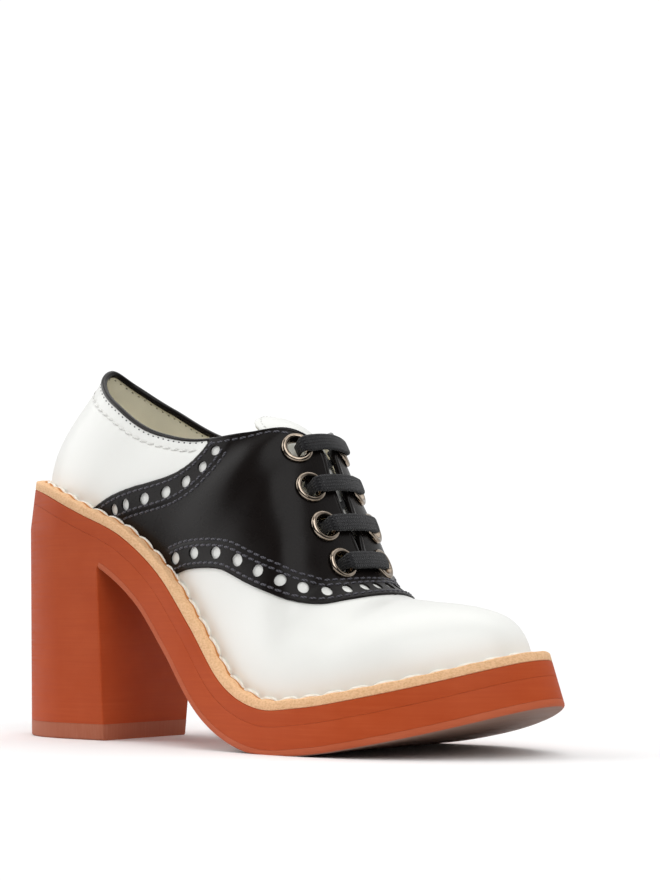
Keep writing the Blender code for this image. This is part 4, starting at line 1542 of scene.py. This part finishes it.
@dataclass
class Upper:
    """White leather shell, its lining and the seams round the collar."""

    workshop: Workshop
    leather: float = 0.9
    lining_from: float = 0.94
    wall: float = 1.5
    columns: int = 200
    rows: int = 66
    lining_columns: int = 120
    lining_rows: int = 36
    seam_depth: float = 0.16
    seam_spread: float = 1.3
    pucker: float = 0.06
    pucker_pitch: float = 5.6
    pucker_spread: float = 3.6
    crease_points: int = 40
    crease_bow: float = 0.02
    crease_ends: Pair = (0.05, 0.95)
    crease_lip: float = 1.6
    crease_lip_share: float = 0.5
    lining_top: float = 0.995
    row_span: Pair = (0.004, 0.362)
    row_points: int = 140
    fine_row_below: float = 1.25
    inside_row_below: float = 2.0
    heavy: Stitch = Stitch(4.2, 0.85, 0.42, 4.5, lean=9.0)
    fine: Stitch = Stitch(1.0, 0.5, 0.3, 2.9)

    def seam(self, side: Side) -> Line:
        """Heavy seam below the collar, from the back seam to the saddle.

        Args:
            side: side of the shoe.
        Returns:
            Points and normals.
        """
        station = np.linspace(*self.row_span, self.row_points)
        height = through(COLLAR_SEAM["station"], COLLAR_SEAM["height"], station)
        point, normal, _ = LAST.wall_frame(side, station, height)
        return point, normal

    def fine_row(self, side: Side, below: float) -> Line:
        """Fine row right under the binding.

        Args:
            side: side of the shoe.
            below: how far under the rim it runs.
        Returns:
            Points and normals.
        """
        station = np.linspace(*self.row_span, self.row_points)
        point, normal, _ = LAST.wall_frame(side, *LAST.below_rim(side, station, below))
        return point, normal

    def inside_row(self, side: Side) -> Line:
        """Points and normals of the same row where it comes out on the lining."""
        point, normal = self.fine_row(side, self.inside_row_below)
        return point - normal * self.wall, -normal

    def relief(self, side: Side, points: Array) -> Array:
        """Troughs and puckers of the leather.

        Args:
            side: side of the shoe.
            points: points of the wall.
        Returns:
            How far each point is moved outwards.
        """
        distance, way = nearest(points, self.seam(side)[0])
        move = -self.seam_depth * np.exp(-(distance / self.seam_spread) ** 2)
        ripple = np.sin(2 * math.pi * way / self.pucker_pitch)
        move += self.pucker * ripple * np.exp(-(distance / self.pucker_spread) ** 2)
        for row in range(len(CREASES["depth"])):
            a, b, c, d, depth, spread = (CREASES[name][row] for name in CREASES)
            share = np.linspace(0, 1, self.crease_points)
            bow = self.crease_bow * np.sin(math.pi * share)
            line = LAST.wall(side, a + (c - a) * share + bow, b + (d - b) * share)
            distance, way = nearest(points, line)
            fade = np.sin(math.pi * np.clip(way / way_along(line)[-1], *self.crease_ends))
            lip = np.exp(-((distance - self.crease_lip * spread) / spread) ** 2)
            trough = np.exp(-(distance / spread) ** 2)
            move += depth * fade * (self.crease_lip_share * lip - trough)
        return move

    def wall_grids(self, columns: int, rows: int, top: float) -> tuple[Grids, Grids]:
        """Grids of the whole wall.

        Args:
            columns: cells from heel to toe.
            rows: cells from the welt up.
            top: height where the grids end.
        Returns:
            Points and normals of both sides.
        """
        grid = np.meshgrid(np.linspace(0, 1, columns + 1), np.linspace(0, top, rows + 1), indexing="ij")
        points = LAST.grids(*grid)
        return points, LAST.normals(points)

    def build(self, holes: Sequence[Thing]) -> None:
        """Build and dress shell, lining and seams.

        Args:
            holes: punches of the eyelet holes.
        """
        points, normals = self.wall_grids(self.columns, self.rows, 1.0)
        moves = {side: self.relief(side, points[side]) for side in Side}
        shared = np.all(points[Side.OUTER] == points[Side.INNER], axis=-1)
        middle = (moves[Side.OUTER] + moves[Side.INNER]) / 2
        sheets = []
        for side in Side:
            move = np.where(shared, middle, moves[side])[..., None]
            move[-1] = 0.0
            face = points[side] + normals[side] * move
            back = points[side] - normals[side] * self.leather
            sheets.append((face, back))
        leather = shell("upper_leather", sheets)
        punch(leather, holes)
        self.workshop.dress(leather, WHITE_LEATHER, "upper")

        points, normals = self.wall_grids(self.lining_columns, self.lining_rows, self.lining_top)
        sheets = [(points[side] - normals[side] * self.lining_from, points[side] - normals[side] * self.wall)
                  for side in Side]
        lining = shell("upper_lining", sheets)
        punch(lining, holes)
        self.workshop.dress(lining, LINING_LEATHER)

        heavy = [self.seam(side) for side in Side]
        self.workshop.dress(self.heavy.row("collar_seam_stitches", heavy), WHITE_THREAD)
        fine = [self.fine_row(side, self.fine_row_below) for side in Side]
        self.workshop.dress(self.fine.row("binding_stitches", fine), BLACK_THREAD)
        inside = [self.inside_row(side) for side in Side]
        self.workshop.dress(self.fine.row("lining_stitches", inside), GREY_THREAD)


# Saddle

@dataclass
class Saddle:
    """Black overlay over the instep with its punched, stitched border."""

    workshop: Workshop
    lift: float = 0.10
    thick: float = 0.6
    border: float = 9.6
    border_rise: float = 0.14
    edge_round: float = 0.6
    columns: int = 110
    rows: int = 70
    foot: float = 0.028
    hole: float = 4.5
    hole_set: float = 5.6
    hole_pitch: float = 9.3
    hole_draw: Pair = (0.85, 1.25)
    front_holes: tuple[float, ...] = (
        0.029, 0.141, 0.262, 0.376, 0.480, 0.578, 0.662, 0.749, 0.825, 0.900, 0.965)
    rear_holes: tuple[float, ...] = (0.176, 0.267, 0.413, 0.575, 0.727, 0.855, 0.965)
    hole_segments: int = 24
    punch_depth: float = 8.0
    border_step: float = 0.7
    edge_least: float = 0.35
    edge_points: int = 160
    edge_row: float = 1.9
    double_rows: Pair = (8.2, 10.4)
    top_row: float = 3.2
    top_row_span: Pair = (0.372, 0.445)
    top_row_points: int = 60
    top_edge_points: int = 150
    throat_gap: float = 0.004
    thread: Stitch = Stitch(2.8, 0.9, 0.75, 3.15, lean=6.0)
    edge_section: tuple[Pair, ...] = (
        (0.62, -1.6), (0.80, -1.4), (0.88, -0.7), (0.82, 0.0), (0.6, 0.42), (0.1, 0.6), (-0.7, 0.6),
        (-1.25, 0.4), (-1.55, 0.0), (-1.65, -0.8), (-1.62, -2.6), (-1.3, -2.8))

    def edges(self, side: Side, inward: float = 0.0) -> dict[Edge, Line]:
        """Lines that follow the rear and the front edge.

        Args:
            side: side of the shoe.
            inward: distance of the lines from the edges.
        Returns:
            Stations and heights of each line, from the welt up.
        """
        height = np.linspace(self.foot, 1.0, self.edge_points)
        lines = {}
        for edge, sense in ((Edge.REAR, 1), (Edge.FRONT, -1)):
            station = through(SADDLE["height"], SADDLE[edge.value], height)
            point, normal, _ = LAST.wall_frame(side, station, height)
            along = np.gradient(point, axis=0)
            heading = sense * side * np.cross(normal, unit(along))
            lines[edge] = (station, height)
            if inward:
                lines[edge] = LAST.walk(side, station, height, heading, inward)
        return lines

    def lifted(self, side: Side, line: Line, rise: float) -> Line:
        """Points and normals of a line on the saddle's outer face.

        Args:
            side: side of the shoe.
            line: stations and heights.
            rise: extra height above the plain saddle.
        Returns:
            Points and normals, without what lies past the top line.
        """
        station, height = line
        inside = height <= 1.0
        point, normal, _ = LAST.wall_frame(side, station[inside], height[inside])
        return point + normal * (self.lift + self.thick + rise), normal

    def over_ridge(self, inward: float, rise: float) -> Line:
        """Points and normals of a line along the front edge of both sides, over the vamp's ridge."""
        outer, inner = (self.lifted(side, self.edges(side, inward)[Edge.FRONT], rise) for side in Side)
        return tuple(np.vstack((o, i[::-1])) for o, i in zip(outer, inner))

    def hole_places(self) -> list[Frame]:
        """Punched holes of the border, drawn out along it where they lie far apart.

        Returns:
            Middle, direction and draw of each hole.
        """
        places = []
        for side in Side:
            for edge, shares in ((Edge.FRONT, self.front_holes), (Edge.REAR, self.rear_holes)):
                points, normals = self.lifted(side, self.edges(side, self.hole_set)[edge], 0.0)
                way = way_along(points)
                at = way[-1] * np.array(shares)
                draw = np.clip(np.gradient(at) / self.hole_pitch, *self.hole_draw)
                ahead = unit(np.gradient(points, axis=0))
                for place, length in zip(np.searchsorted(way, at), draw):
                    along = unit(ahead[place] - normals[place] * np.dot(ahead[place], normals[place]))
                    places.append((points[place], normals[place], along * length))
        return places

    def sheet_grids(self) -> tuple[Grids, Grids]:
        """Wall under the saddle.

        Returns:
            Points and normals of both sides.
        """
        height = self.foot + (1 - self.foot) * np.sin(np.linspace(0, math.pi / 2, self.rows + 1))
        rear = through(SADDLE["height"], SADDLE["rear"], height)
        front = through(SADDLE["height"], SADDLE["front"], height)
        throat = (LAST.throat_point - rear[-1]) / (front[-1] - rear[-1])
        share = np.sort(np.append(crowded(self.columns), throat))
        station = rear + share[:, None] * (front - rear)
        points = LAST.grids(station, np.broadcast_to(height, station.shape))
        return points, LAST.normals(points)

    def thickness(self, side: Side, points: Array) -> Array:
        """Height of the saddle's outer face over its inner one.

        Args:
            side: side of the shoe.
            points: points under the saddle.
        Returns:
            Height at each point.
        """
        nearest_edge = np.full(points.shape[:-1], np.inf)
        for station, height in self.edges(side).values():
            nearest_edge = np.minimum(nearest_edge, nearest(points, LAST.wall(side, station, height))[0])
        strip = 1 - smooth_step((nearest_edge - self.border + self.border_step / 2) / self.border_step)
        rounded = self.edge_least + (1 - self.edge_least) * round_end(nearest_edge / self.edge_round, 2.0)
        return (self.thick + self.border_rise * strip) * rounded

    def top_edge(self, side: Side) -> Thing:
        """Bound edge along the collar's front and the throat.

        Args:
            side: side of the shoe.
        Returns:
            The new object.
        """
        station = np.linspace(SADDLE["rear"][-1], LAST.throat_point - self.throat_gap, self.top_edge_points)
        rings = LAST.rim_rings(side, station, self.edge_section)
        return loft(f"saddle_edge_{side.name.lower()}", rings, crisp=CRISP_STRIP)

    def build(self, eyelet_holes: Sequence[Thing]) -> None:
        """Build and dress the overlay, its edge and its stitches.

        Args:
            eyelet_holes: punches of the eyelet holes.
        """
        points, normals = self.sheet_grids()
        sheets = []
        for side in Side:
            base = points[side] + normals[side] * self.lift
            sheets.append((base + normals[side] * self.thickness(side, points[side])[..., None], base))
        overlay = shell("saddle_overlay", sheets)
        border = cylinders("border_punch", self.hole_places(), self.hole / 2, self.punch_depth,
                           self.hole_segments)
        punch(overlay, [border, *eyelet_holes])
        bpy.data.objects.remove(border, do_unlink=True)
        self.workshop.dress(overlay, BLACK_LEATHER, "saddle")
        for side in Side:
            self.workshop.dress(self.top_edge(side), BINDING_LEATHER)

        low, high = self.double_rows
        rows = ((self.edge_row, self.border_rise), (low, self.border_rise), (high, 0.0))
        lines = [self.over_ridge(inward, rise) for inward, rise in rows]
        station = np.linspace(*self.top_row_span, self.top_row_points)
        for side in Side:
            for inward, rise in rows:
                lines.append(self.lifted(side, self.edges(side, inward)[Edge.REAR], rise))
            lines.append(self.lifted(side, LAST.below_rim(side, station, self.top_row), 0.0))
        self.workshop.dress(self.thread.row("saddle_stitches", lines), BLACK_THREAD)


# Collar binding, tongue and insole

@dataclass
class CollarBinding:
    """Black strip folded over the collar's rim."""

    workshop: Workshop
    section: tuple[Pair, ...] = (
        (0.1, -0.45), (0.40, -0.35), (0.50, 0.10), (0.42, 0.62), (0.1, 1.02), (-0.45, 1.22), (-1.05, 1.25),
        (-1.6, 1.05), (-1.9, 0.55), (-2.0, 0.0), (-1.95, -0.9), (-1.5, -1.1))
    cells: int = 120
    overlap: float = 0.002

    def build(self) -> None:
        """Build and dress the strip."""
        station = np.linspace(SADDLE["rear"][-1] + self.overlap, 0.0, self.cells + 1)[:-1]
        outer, inner = (LAST.rim_rings(side, station, self.section) for side in Side)
        seam = (outer[-1] + inner[-1]) / 2
        seam[:, 1] = 0.0
        rings = np.concatenate((outer, seam[None], inner[::-1]))
        strip = loft("collar_edge_binding", rings, crisp=CRISP_STRIP)
        self.workshop.dress(strip, BINDING_LEATHER, "collar_binding")


@dataclass
class Tongue:
    """White leather tongue, its free top rounded and fallen back."""

    workshop: Workshop
    wall: float = 1.8
    raise_by: float = 0.3
    bulge: float = 0.3
    bulge_width: float = 0.20
    bulge_rows: Pair = (0.9, 5.0)
    bulge_from: float = 1.5
    slope_step: float = 0.01
    along_cells: int = 90
    across_cells: int = 36
    edge_round: float = 0.5
    edge_least: float = 0.4
    side_margin: float = 11.0
    top_margin: float = 4.0
    row_in: float = 0.84
    row_points: int = 120
    row_below_top: float = 0.45
    row_fall: float = 3.2
    row_fall_power: float = 3.0
    row_spread: float = 1.25
    row_spread_power: float = 0.8
    thread: Stitch = Stitch(1.7, 0.5, 0.4, 2.3)

    def surface(self, along: Array, sideways: Array) -> Array:
        """Middle surface of the tongue, as its table gives it.

        Args:
            along: rows of the table, from root to free top.
            sideways: share of the half width.
        Returns:
            Points.
        """
        rows = np.arange(len(TONGUE["x"]), dtype=float)
        value = {name: through(rows, TONGUE[name], along) for name in TONGUE}
        x = value["x"] + value["drop_x"] * sideways ** 2
        y = value["half_width"] * sideways
        z = value["z"] + value["drop_z"] * sideways ** 2
        return np.stack((x, y, z), axis=-1)

    def laced(self, along: Array, sideways: Array) -> Line:
        """Middle surface as the lace holds it, swelling between the facings.

        Args:
            along: rows of the table, from root to free top.
            sideways: share of the half width.
        Returns:
            Points and outward normals.
        """
        point = self.surface(along, sideways)
        step = self.slope_step
        to_top = self.surface(along + step, sideways) - self.surface(along - step, sideways)
        to_inner = self.surface(along, sideways + step) - self.surface(along, sideways - step)
        normal = unit(np.cross(to_inner, to_top))
        normal = normal * np.where(normal[..., 2:] < 0, -1.0, 1.0)
        low, high = self.bulge_rows
        laced = smooth_step(along - low) * smooth_step(high - along)
        swell = laced * smooth_step(self.bulge_from - np.abs(sideways) / self.bulge_width)
        return point + normal * (self.raise_by + self.bulge * swell)[..., None], normal

    def build(self) -> None:
        """Build and dress the tongue and its stitches."""
        last_row = len(TONGUE["x"]) - 1.0
        along = np.linspace(0, last_row, self.along_cells + 1)
        sideways = crowded(self.across_cells, -1, 1)
        grid_along, grid_side = np.meshgrid(along, sideways, indexing="ij")
        points, normal = self.laced(grid_along, grid_side)
        margin = np.minimum((1 - np.abs(grid_side)) * self.side_margin,
                            (last_row - grid_along) * self.top_margin)
        rounded = self.edge_least + (1 - self.edge_least) * round_end(margin / self.edge_round, 2.0)
        half = self.wall / 2 * rounded[..., None]
        piece = shell("tongue_leather", [(points + normal * half, points - normal * half)], CRISP_STRIP)
        self.workshop.dress(piece, WHITE_LEATHER, "tongue")
        turn = np.linspace(-1, 1, self.row_points)
        row_along = last_row - self.row_below_top - self.row_fall * np.abs(turn) ** self.row_fall_power
        spread = np.minimum(1, self.row_spread * np.abs(turn) ** self.row_spread_power)
        row_side = self.row_in * np.sign(turn) * spread
        line, up = self.laced(row_along, row_side)
        row = self.thread.row("tongue_stitches", [(line + up * self.wall / 2, up)])
        self.workshop.dress(row, WHITE_THREAD)


@dataclass
class Insole:
    """Lining sock on the bed inside the upper."""

    workshop: Workshop
    sole: Sole
    thick: float = 2.5
    set_in: float = 8.35
    top_edge: float = 0.6
    bottom_edge: float = 0.3

    def build(self) -> None:
        """Build and dress the sock."""
        top = LAST.gap + self.thick
        profile = self.sole.edge_profile(top, LAST.gap, self.top_edge, self.bottom_edge)
        sock = self.sole.layer("insole_sock", 0.0, profile, inset=self.set_in)
        self.workshop.dress(sock, LINING_LEATHER, "insole")


# Eyelets and lace

@dataclass
class Eyelets:
    """Eight rolled metal eyelets."""

    workshop: Workshop
    base: float = 0.74
    hole: float = 7.5
    outer: float = 11.9
    height: float = 1.5
    barrel: float = 2.35
    barrel_wall: float = 0.25
    barrel_top: float = 0.3
    fit: float = 0.02
    lip: float = 0.35
    rim_foot: float = 0.12
    rim_fullness: float = 0.8
    rim_turn: Pair = (0.25, math.pi - 0.02)
    rim_points: int = 14
    steps: int = 44
    punch_depth: float = 14.0
    punch_room: float = 0.05
    punch_segments: int = 32

    def seats(self, index: int) -> dict[Side, Line]:
        """One pair of eyelets on the upper's face.

        Args:
            index: number of the pair, from the top one down.
        Returns:
            Middle and normal on each side.
        """
        station = np.asarray(EYELETS["station"][index])
        height = np.asarray(EYELETS["height"][index])
        return {side: LAST.wall_frame(side, station, height)[:2] for side in Side}

    def punches(self) -> Thing:
        """Solid of all the eyelet holes.

        Returns:
            The punch.
        """
        seats = [self.seats(k)[side] for k in range(len(EYELETS["station"])) for side in Side]
        places = [(seat, up, unit(np.cross(up, (1.0, 0.0, 0.0)))) for seat, up in seats]
        return cylinders("eyelet_punch", places, self.hole / 2 + self.punch_room, self.punch_depth,
                         self.punch_segments)

    def profile(self) -> list[Pair]:
        """Section of an eyelet, from its barrel over the rolled rim and back under it.

        Returns:
            Pairs of radius and height.
        """
        hole, outer = self.hole / 2, self.outer / 2
        inside, tube = hole - self.barrel_wall, hole - self.fit
        middle, half = (hole + outer) / 2, (outer - hole) / 2
        rim = []
        for turn in np.linspace(*self.rim_turn, self.rim_points):
            rise = self.rim_foot + (1 - self.rim_foot) * math.sin(turn) ** self.rim_fullness
            rim.append((middle - half * math.cos(turn), self.height * rise))
        under = [(outer - self.lip, self.fit), (tube, self.fit), (tube, -self.barrel)]
        return [(inside, -self.barrel), (inside, self.barrel_top), *rim, *under]

    def pattern(self) -> bpy.types.Mesh:
        """One eyelet, spun from its section round the origin.

        Returns:
            Its mesh.
        """
        section = [Vector((radius, 0.0, height)) * MM for radius, height in self.profile()]
        count = len(section)
        mesh = bpy.data.meshes.new("eyelet_pattern")
        mesh.from_pydata(section, [(k, (k + 1) % count) for k in range(count)], [])
        ring = hang("eyelet_pattern", mesh)
        bpy.ops.object.mode_set(mode="EDIT")
        bpy.ops.mesh.select_all(action="SELECT")
        bpy.ops.mesh.spin(steps=self.steps, angle=2 * math.pi, center=(0, 0, 0), axis=(0, 0, 1))
        bpy.ops.mesh.select_all(action="SELECT")
        bpy.ops.mesh.remove_doubles(threshold=SPIN_WELD)
        outward_faces()
        bpy.ops.object.mode_set(mode="OBJECT")
        bpy.ops.object.shade_smooth_by_angle(angle=math.radians(CRISP_RIM))
        bpy.data.objects.remove(ring, do_unlink=True)
        return mesh

    def build(self) -> None:
        """Place a copy of the eyelet at each seat."""
        pattern = self.pattern()
        for index in range(len(EYELETS["station"])):
            for side, (seat, normal) in self.seats(index).items():
                label = f"{side.name.lower()}_{index + 1}"
                mesh = pattern.copy()
                turn = Vector(normal).to_track_quat("Z", "Y").to_matrix().to_4x4()
                mesh.transform(Matrix.Translation(to_model(seat + normal * self.base)) @ turn)
                ring = hang(f"rolled_eyelet_{label}", mesh)
                self.workshop.dress(ring, NICKEL, f"eyelet_{label}")
        bpy.data.meshes.remove(pattern)


@dataclass
class Lace:
    """Flat lace in straight bars over the throat, which crosses back under the facings from bar to bar."""

    workshop: Workshop
    eyelets: Eyelets
    tongue: Tongue
    width: float = 6.5
    thick: float = 1.9
    above: float = 3.3
    handle: float = 0.36
    bar_span: Pair = (0.16, 0.84)
    bar_knots: int = 9
    hidden_width: float = 4.6
    hidden_thick: float = 0.9
    under: float = 2.2
    hole_side: float = 1.0
    # Height over the eyelet's seat, shift towards the throat, width and thickness
    dips: tuple[tuple[float, float, float, float], ...] = ((0.6, 1.0, 4.3, 1.6), (3.1, 1.8, 5.6, 1.9))
    tongue_rows: tuple[float, ...] = (3.85, 2.75, 1.82, 0.90)
    crossing_span: Pair = (0.22, 0.64)
    crossing_reach: float = 0.5
    crossing_width: float = 2.7
    crossing_knots: int = 5
    off_tongue: float = 0.24
    last_run_under: float = 2.85
    # Number of the inner eyelet and distance from the eyelets, away from the throat
    last_run: tuple[Pair, ...] = ((2.5, 3.5), (2.0, 5.0), (1.0, 5.0), (0.0, 5.0))
    corner_points: int = 16
    corner_powers: Pair = (0.45, 0.7)
    cells: int = 520
    # Columns of a knot where its flat direction, its width and its thickness begin
    knot_parts: tuple[int, int, int] = (3, 6, 7)
    knots: list[Array] = field(default_factory=list)

    def knot(self, point: Array, wide: Array, width: float, thick: float) -> None:
        """Note one point of the lace's way, with its flat direction, width and thickness."""
        self.knots.append(np.concatenate((point, unit(wide), (width, thick))))

    def bar(self, index: int) -> None:
        """Note one bar of the lace from the outer to the inner side, with its dips into both eyelets.

        Args:
            index: number of the pair of eyelets.
        """
        seats = self.eyelets.seats(index)
        (first, first_up), (last, last_up) = seats[Side.OUTER], seats[Side.INNER]
        lift = unit(first_up + last_up)
        start, end = first + first_up * self.above, last + last_up * self.above
        span = end - start
        reach = self.handle * np.linalg.norm(span)
        out = unit(span - first_up * np.dot(span, first_up))
        back = unit(span - last_up * np.dot(span, last_up))
        wide = unit(np.cross(lift, span))
        leave, arrive = start + reach * out, end - reach * back
        dips = ((-self.under, self.hole_side, self.hidden_width, self.hidden_thick), *self.dips)
        for rise, aside, width, thick in dips:
            self.knot(first + first_up * rise + out * aside, wide, width, thick)
        for t in np.linspace(*self.bar_span, self.bar_knots):
            self.knot(bezier(start, leave, arrive, end, t), wide, self.width, self.thick)
        for rise, aside, width, thick in dips[::-1]:
            self.knot(last + last_up * rise - back * aside, wide, width, thick)

    def behind(self, place: float, aside: float) -> None:
        """Note one point of the last run, hidden behind the inner facing.

        Args:
            place: number of the eyelet, with a share for a place between two of them.
            aside: distance from the eyelets, away from the throat.
        """
        numbers = np.arange(len(EYELETS["station"]))
        spot = tuple(np.interp([place], numbers, EYELETS[name]) for name in ("station", "height"))
        to_throat = LAST.wall_frame(Side.INNER, *spot)[2]
        spot = LAST.walk(Side.INNER, *spot, -to_throat, aside)
        point, normal, up = (part[0] for part in LAST.wall_frame(Side.INNER, *spot))
        self.knot(point - normal * self.last_run_under, up, self.hidden_width, self.hidden_thick)

    def crossing(self, index: int) -> None:
        """Note the run on the tongue, under both facings, from an inner eyelet to the next outer one.

        Args:
            index: number of the inner eyelet.
        """
        upper, lower = self.tongue_rows[index:index + 2]
        share = np.linspace(*self.crossing_span, self.crossing_knots)
        sideways = np.linspace(self.crossing_reach, -self.crossing_reach, self.crossing_knots)
        points, normals = self.tongue.laced(upper + (lower - upper) * share, sideways)
        points = points + normals * (self.tongue.wall / 2 + self.off_tongue + self.hidden_thick / 2)
        ahead = np.gradient(points, axis=0)
        for point, wide in zip(points, np.cross(normals, ahead)):
            self.knot(point, wide, self.crossing_width, self.hidden_thick)

    def build(self) -> None:
        """Run the lace through every eyelet, then up behind the inner facing, and dress it."""
        rows = len(EYELETS["station"])
        for index in range(rows - 1):
            self.bar(index)
            self.crossing(index)
        self.bar(rows - 1)
        for place, aside in self.last_run:
            self.behind(place, aside)
        knots = np.array(self.knots)
        places, directions, *_ = np.split(knots, self.knot_parts, axis=1)
        for before, here in zip(directions, directions[1:]):
            if np.dot(before, here) < 0:
                here *= -1
        way = way_along(places)
        at = np.linspace(0, way[-1], self.cells + 1)
        path = np.stack([through(way, column, at) for column in knots.T], axis=1)
        places, wide, width, thick = np.split(path, self.knot_parts, axis=1)
        ahead = unit(np.gradient(places, axis=0))
        wide = unit(wide - ahead * across(wide, ahead))
        up = np.cross(ahead, wide)
        angle = np.arange(self.corner_points) * 2 * math.pi / self.corner_points
        flat_x, flat_y = (np.sign(part) * np.abs(part) ** power
                          for part, power in zip((np.cos(angle), np.sin(angle)), self.corner_powers))
        rings = (places[:, None] + wide[:, None] * (width / 2 * flat_x)[..., None]
                 + up[:, None] * (thick / 2 * flat_y)[..., None])
        length = way_along(places)
        uv = np.stack(np.broadcast_arrays(length[:, None] / self.width, (1 + flat_x) / 2), axis=-1)
        lace = loft("lace_run", rings, crisp=CRISP_LACE, uv=uv)
        bars = [f"lace_bar_{k + 1}" for k in range(rows)]
        self.workshop.dress(lace, BLACK_BRAID, *bars)
        log.info("lace length %.0f mm", length[-1])


# Floor, light and camera

@dataclass(frozen=True)
class Lamp:
    """Soft square lamp: where it stands and what it points at in metres, its width and its watts."""

    name: str
    place: Triple
    aim: Triple
    size: float
    watts: float

    def build(self) -> None:
        """Hang the lamp and aim it."""
        data = bpy.data.lights.new(self.name, "AREA")
        data.shape = "SQUARE"
        data.size = self.size
        data.energy = self.watts
        lamp = hang(self.name, data)
        lamp.location = self.place
        lamp.rotation_euler = (Vector(self.aim) - Vector(self.place)).to_track_quat("-Z", "Y").to_euler()


@dataclass
class Studio:
    """Pale floor, soft light and the camera at the photograph's angle."""

    workshop: Workshop
    eye: Triple = (582.2, -582.4, 49.2)
    yaw: float = 37.06
    pitch: float = -4.77
    lens: float = 82.8
    sensor: float = 36.0
    sight: float = 100.0
    floor_size: float = 2.6
    floor_cells: int = 8
    # Strength of the room as the camera sees it, then as it lights the shoe from behind and from in front
    seen_light: float = 1.05
    room_light: Pair = (0.78, 0.06)
    front_span: Pair = (-0.25, 0.35)
    front_lean: Triple = (1.0, -1.05, -0.25)
    lamps: tuple[Lamp, ...] = (
        Lamp("key_lamp", (-1.75, -0.80, 1.05), (0.0, 0.0, 0.05), 2.2, 26.0),
        Lamp("fill_lamp", (1.32, -0.95, 1.4), (0.0, 0.0, 0.05), 1.8, 29.0),
        Lamp("top_lamp", (0.0, 0.3, 1.7), (0.0, 0.0, 0.0), 1.6, 6.8),
    )

    def camera(self) -> None:
        """Set up the camera."""
        yaw, pitch = math.radians(self.yaw), math.radians(self.pitch)
        back = Vector((math.sin(yaw) * math.cos(pitch), -math.cos(yaw) * math.cos(pitch), math.sin(pitch)))
        right = Vector((math.cos(yaw), math.sin(yaw), 0.0))
        up = back.cross(right)
        data = bpy.data.cameras.new("camera")
        data.lens = self.lens
        data.sensor_width = self.sensor
        data.clip_end = self.sight
        camera = hang("camera", data)
        turn = Matrix((right, up, back)).transposed().to_4x4()
        camera.matrix_world = Matrix.Translation(Vector(to_model(np.array(self.eye)))) @ turn
        bpy.context.scene.camera = camera

    def world(self) -> None:
        """White room whose front half is darker, so that black leather stays black."""
        world = bpy.data.worlds.new("white_room")
        world.use_nodes = True
        tree = world.node_tree
        nodes = tree.nodes
        ground = nodes["Background"]
        place = nodes.new("ShaderNodeTexCoord")
        aim = nodes.new("ShaderNodeVectorMath")
        aim.operation = "DOT_PRODUCT"
        yaw = math.radians(self.yaw)
        front = np.array((math.sin(yaw), math.cos(yaw), 1.0)) * self.front_lean
        aim.inputs[1].default_value = tuple(front)
        tree.links.new(place.outputs["Generated"], aim.inputs[0])
        dim = nodes.new("ShaderNodeMapRange")
        limits = zip(("From Min", "From Max", "To Min", "To Max"), (*self.front_span, *self.room_light))
        for name, limit in limits:
            dim.inputs[name].default_value = limit
        tree.links.new(aim.outputs["Value"], dim.inputs["Value"])
        sight = nodes.new("ShaderNodeLightPath")
        pick = nodes.new("ShaderNodeMix")
        pick.data_type = "FLOAT"
        tree.links.new(sight.outputs["Is Camera Ray"], pick.inputs["Factor"])
        tree.links.new(dim.outputs["Result"], pick.inputs["A"])
        pick.inputs["B"].default_value = self.seen_light
        tree.links.new(pick.outputs["Result"], ground.inputs["Strength"])
        ground.inputs["Color"].default_value = (1.0, 1.0, 1.0, 1.0)
        bpy.context.scene.world = world

    def build(self) -> None:
        """Set up camera, floor and light."""
        self.camera()
        bpy.ops.object.select_all(action="DESELECT")
        bpy.ops.mesh.primitive_grid_add(x_subdivisions=self.floor_cells, y_subdivisions=self.floor_cells,
                                        size=self.floor_size)
        floor = bpy.context.object
        floor.name = "floor"
        floor.data.materials.append(self.workshop.material(FLOOR_PAPER))
        self.world()
        for lamp in self.lamps:
            lamp.build()
        bpy.context.scene.view_settings.view_transform = "Standard"
        log.info("studio ready")


def main() -> None:
    """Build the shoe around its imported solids."""
    logging.basicConfig(level=logging.INFO, format="%(name)s: %(message)s")
    for old in list(bpy.data.objects):
        bpy.data.objects.remove(old, do_unlink=True)
    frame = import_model()
    log.info("%d packed nodes", len(frame["nodes"]))
    workshop = Workshop()
    Studio(workshop).build()
    sole = Sole(workshop)
    sole.build()
    Insole(workshop, sole).build()
    Welt(workshop).build()
    eyelets = Eyelets(workshop)
    holes = [eyelets.punches()]
    Upper(workshop).build(holes)
    Saddle(workshop).build(holes)
    for solid in holes:
        bpy.data.objects.remove(solid, do_unlink=True)
    CollarBinding(workshop).build()
    tongue = Tongue(workshop)
    tongue.build()
    eyelets.build()
    Lace(workshop, eyelets, tongue).build()


if __name__ == "__main__":
    main()
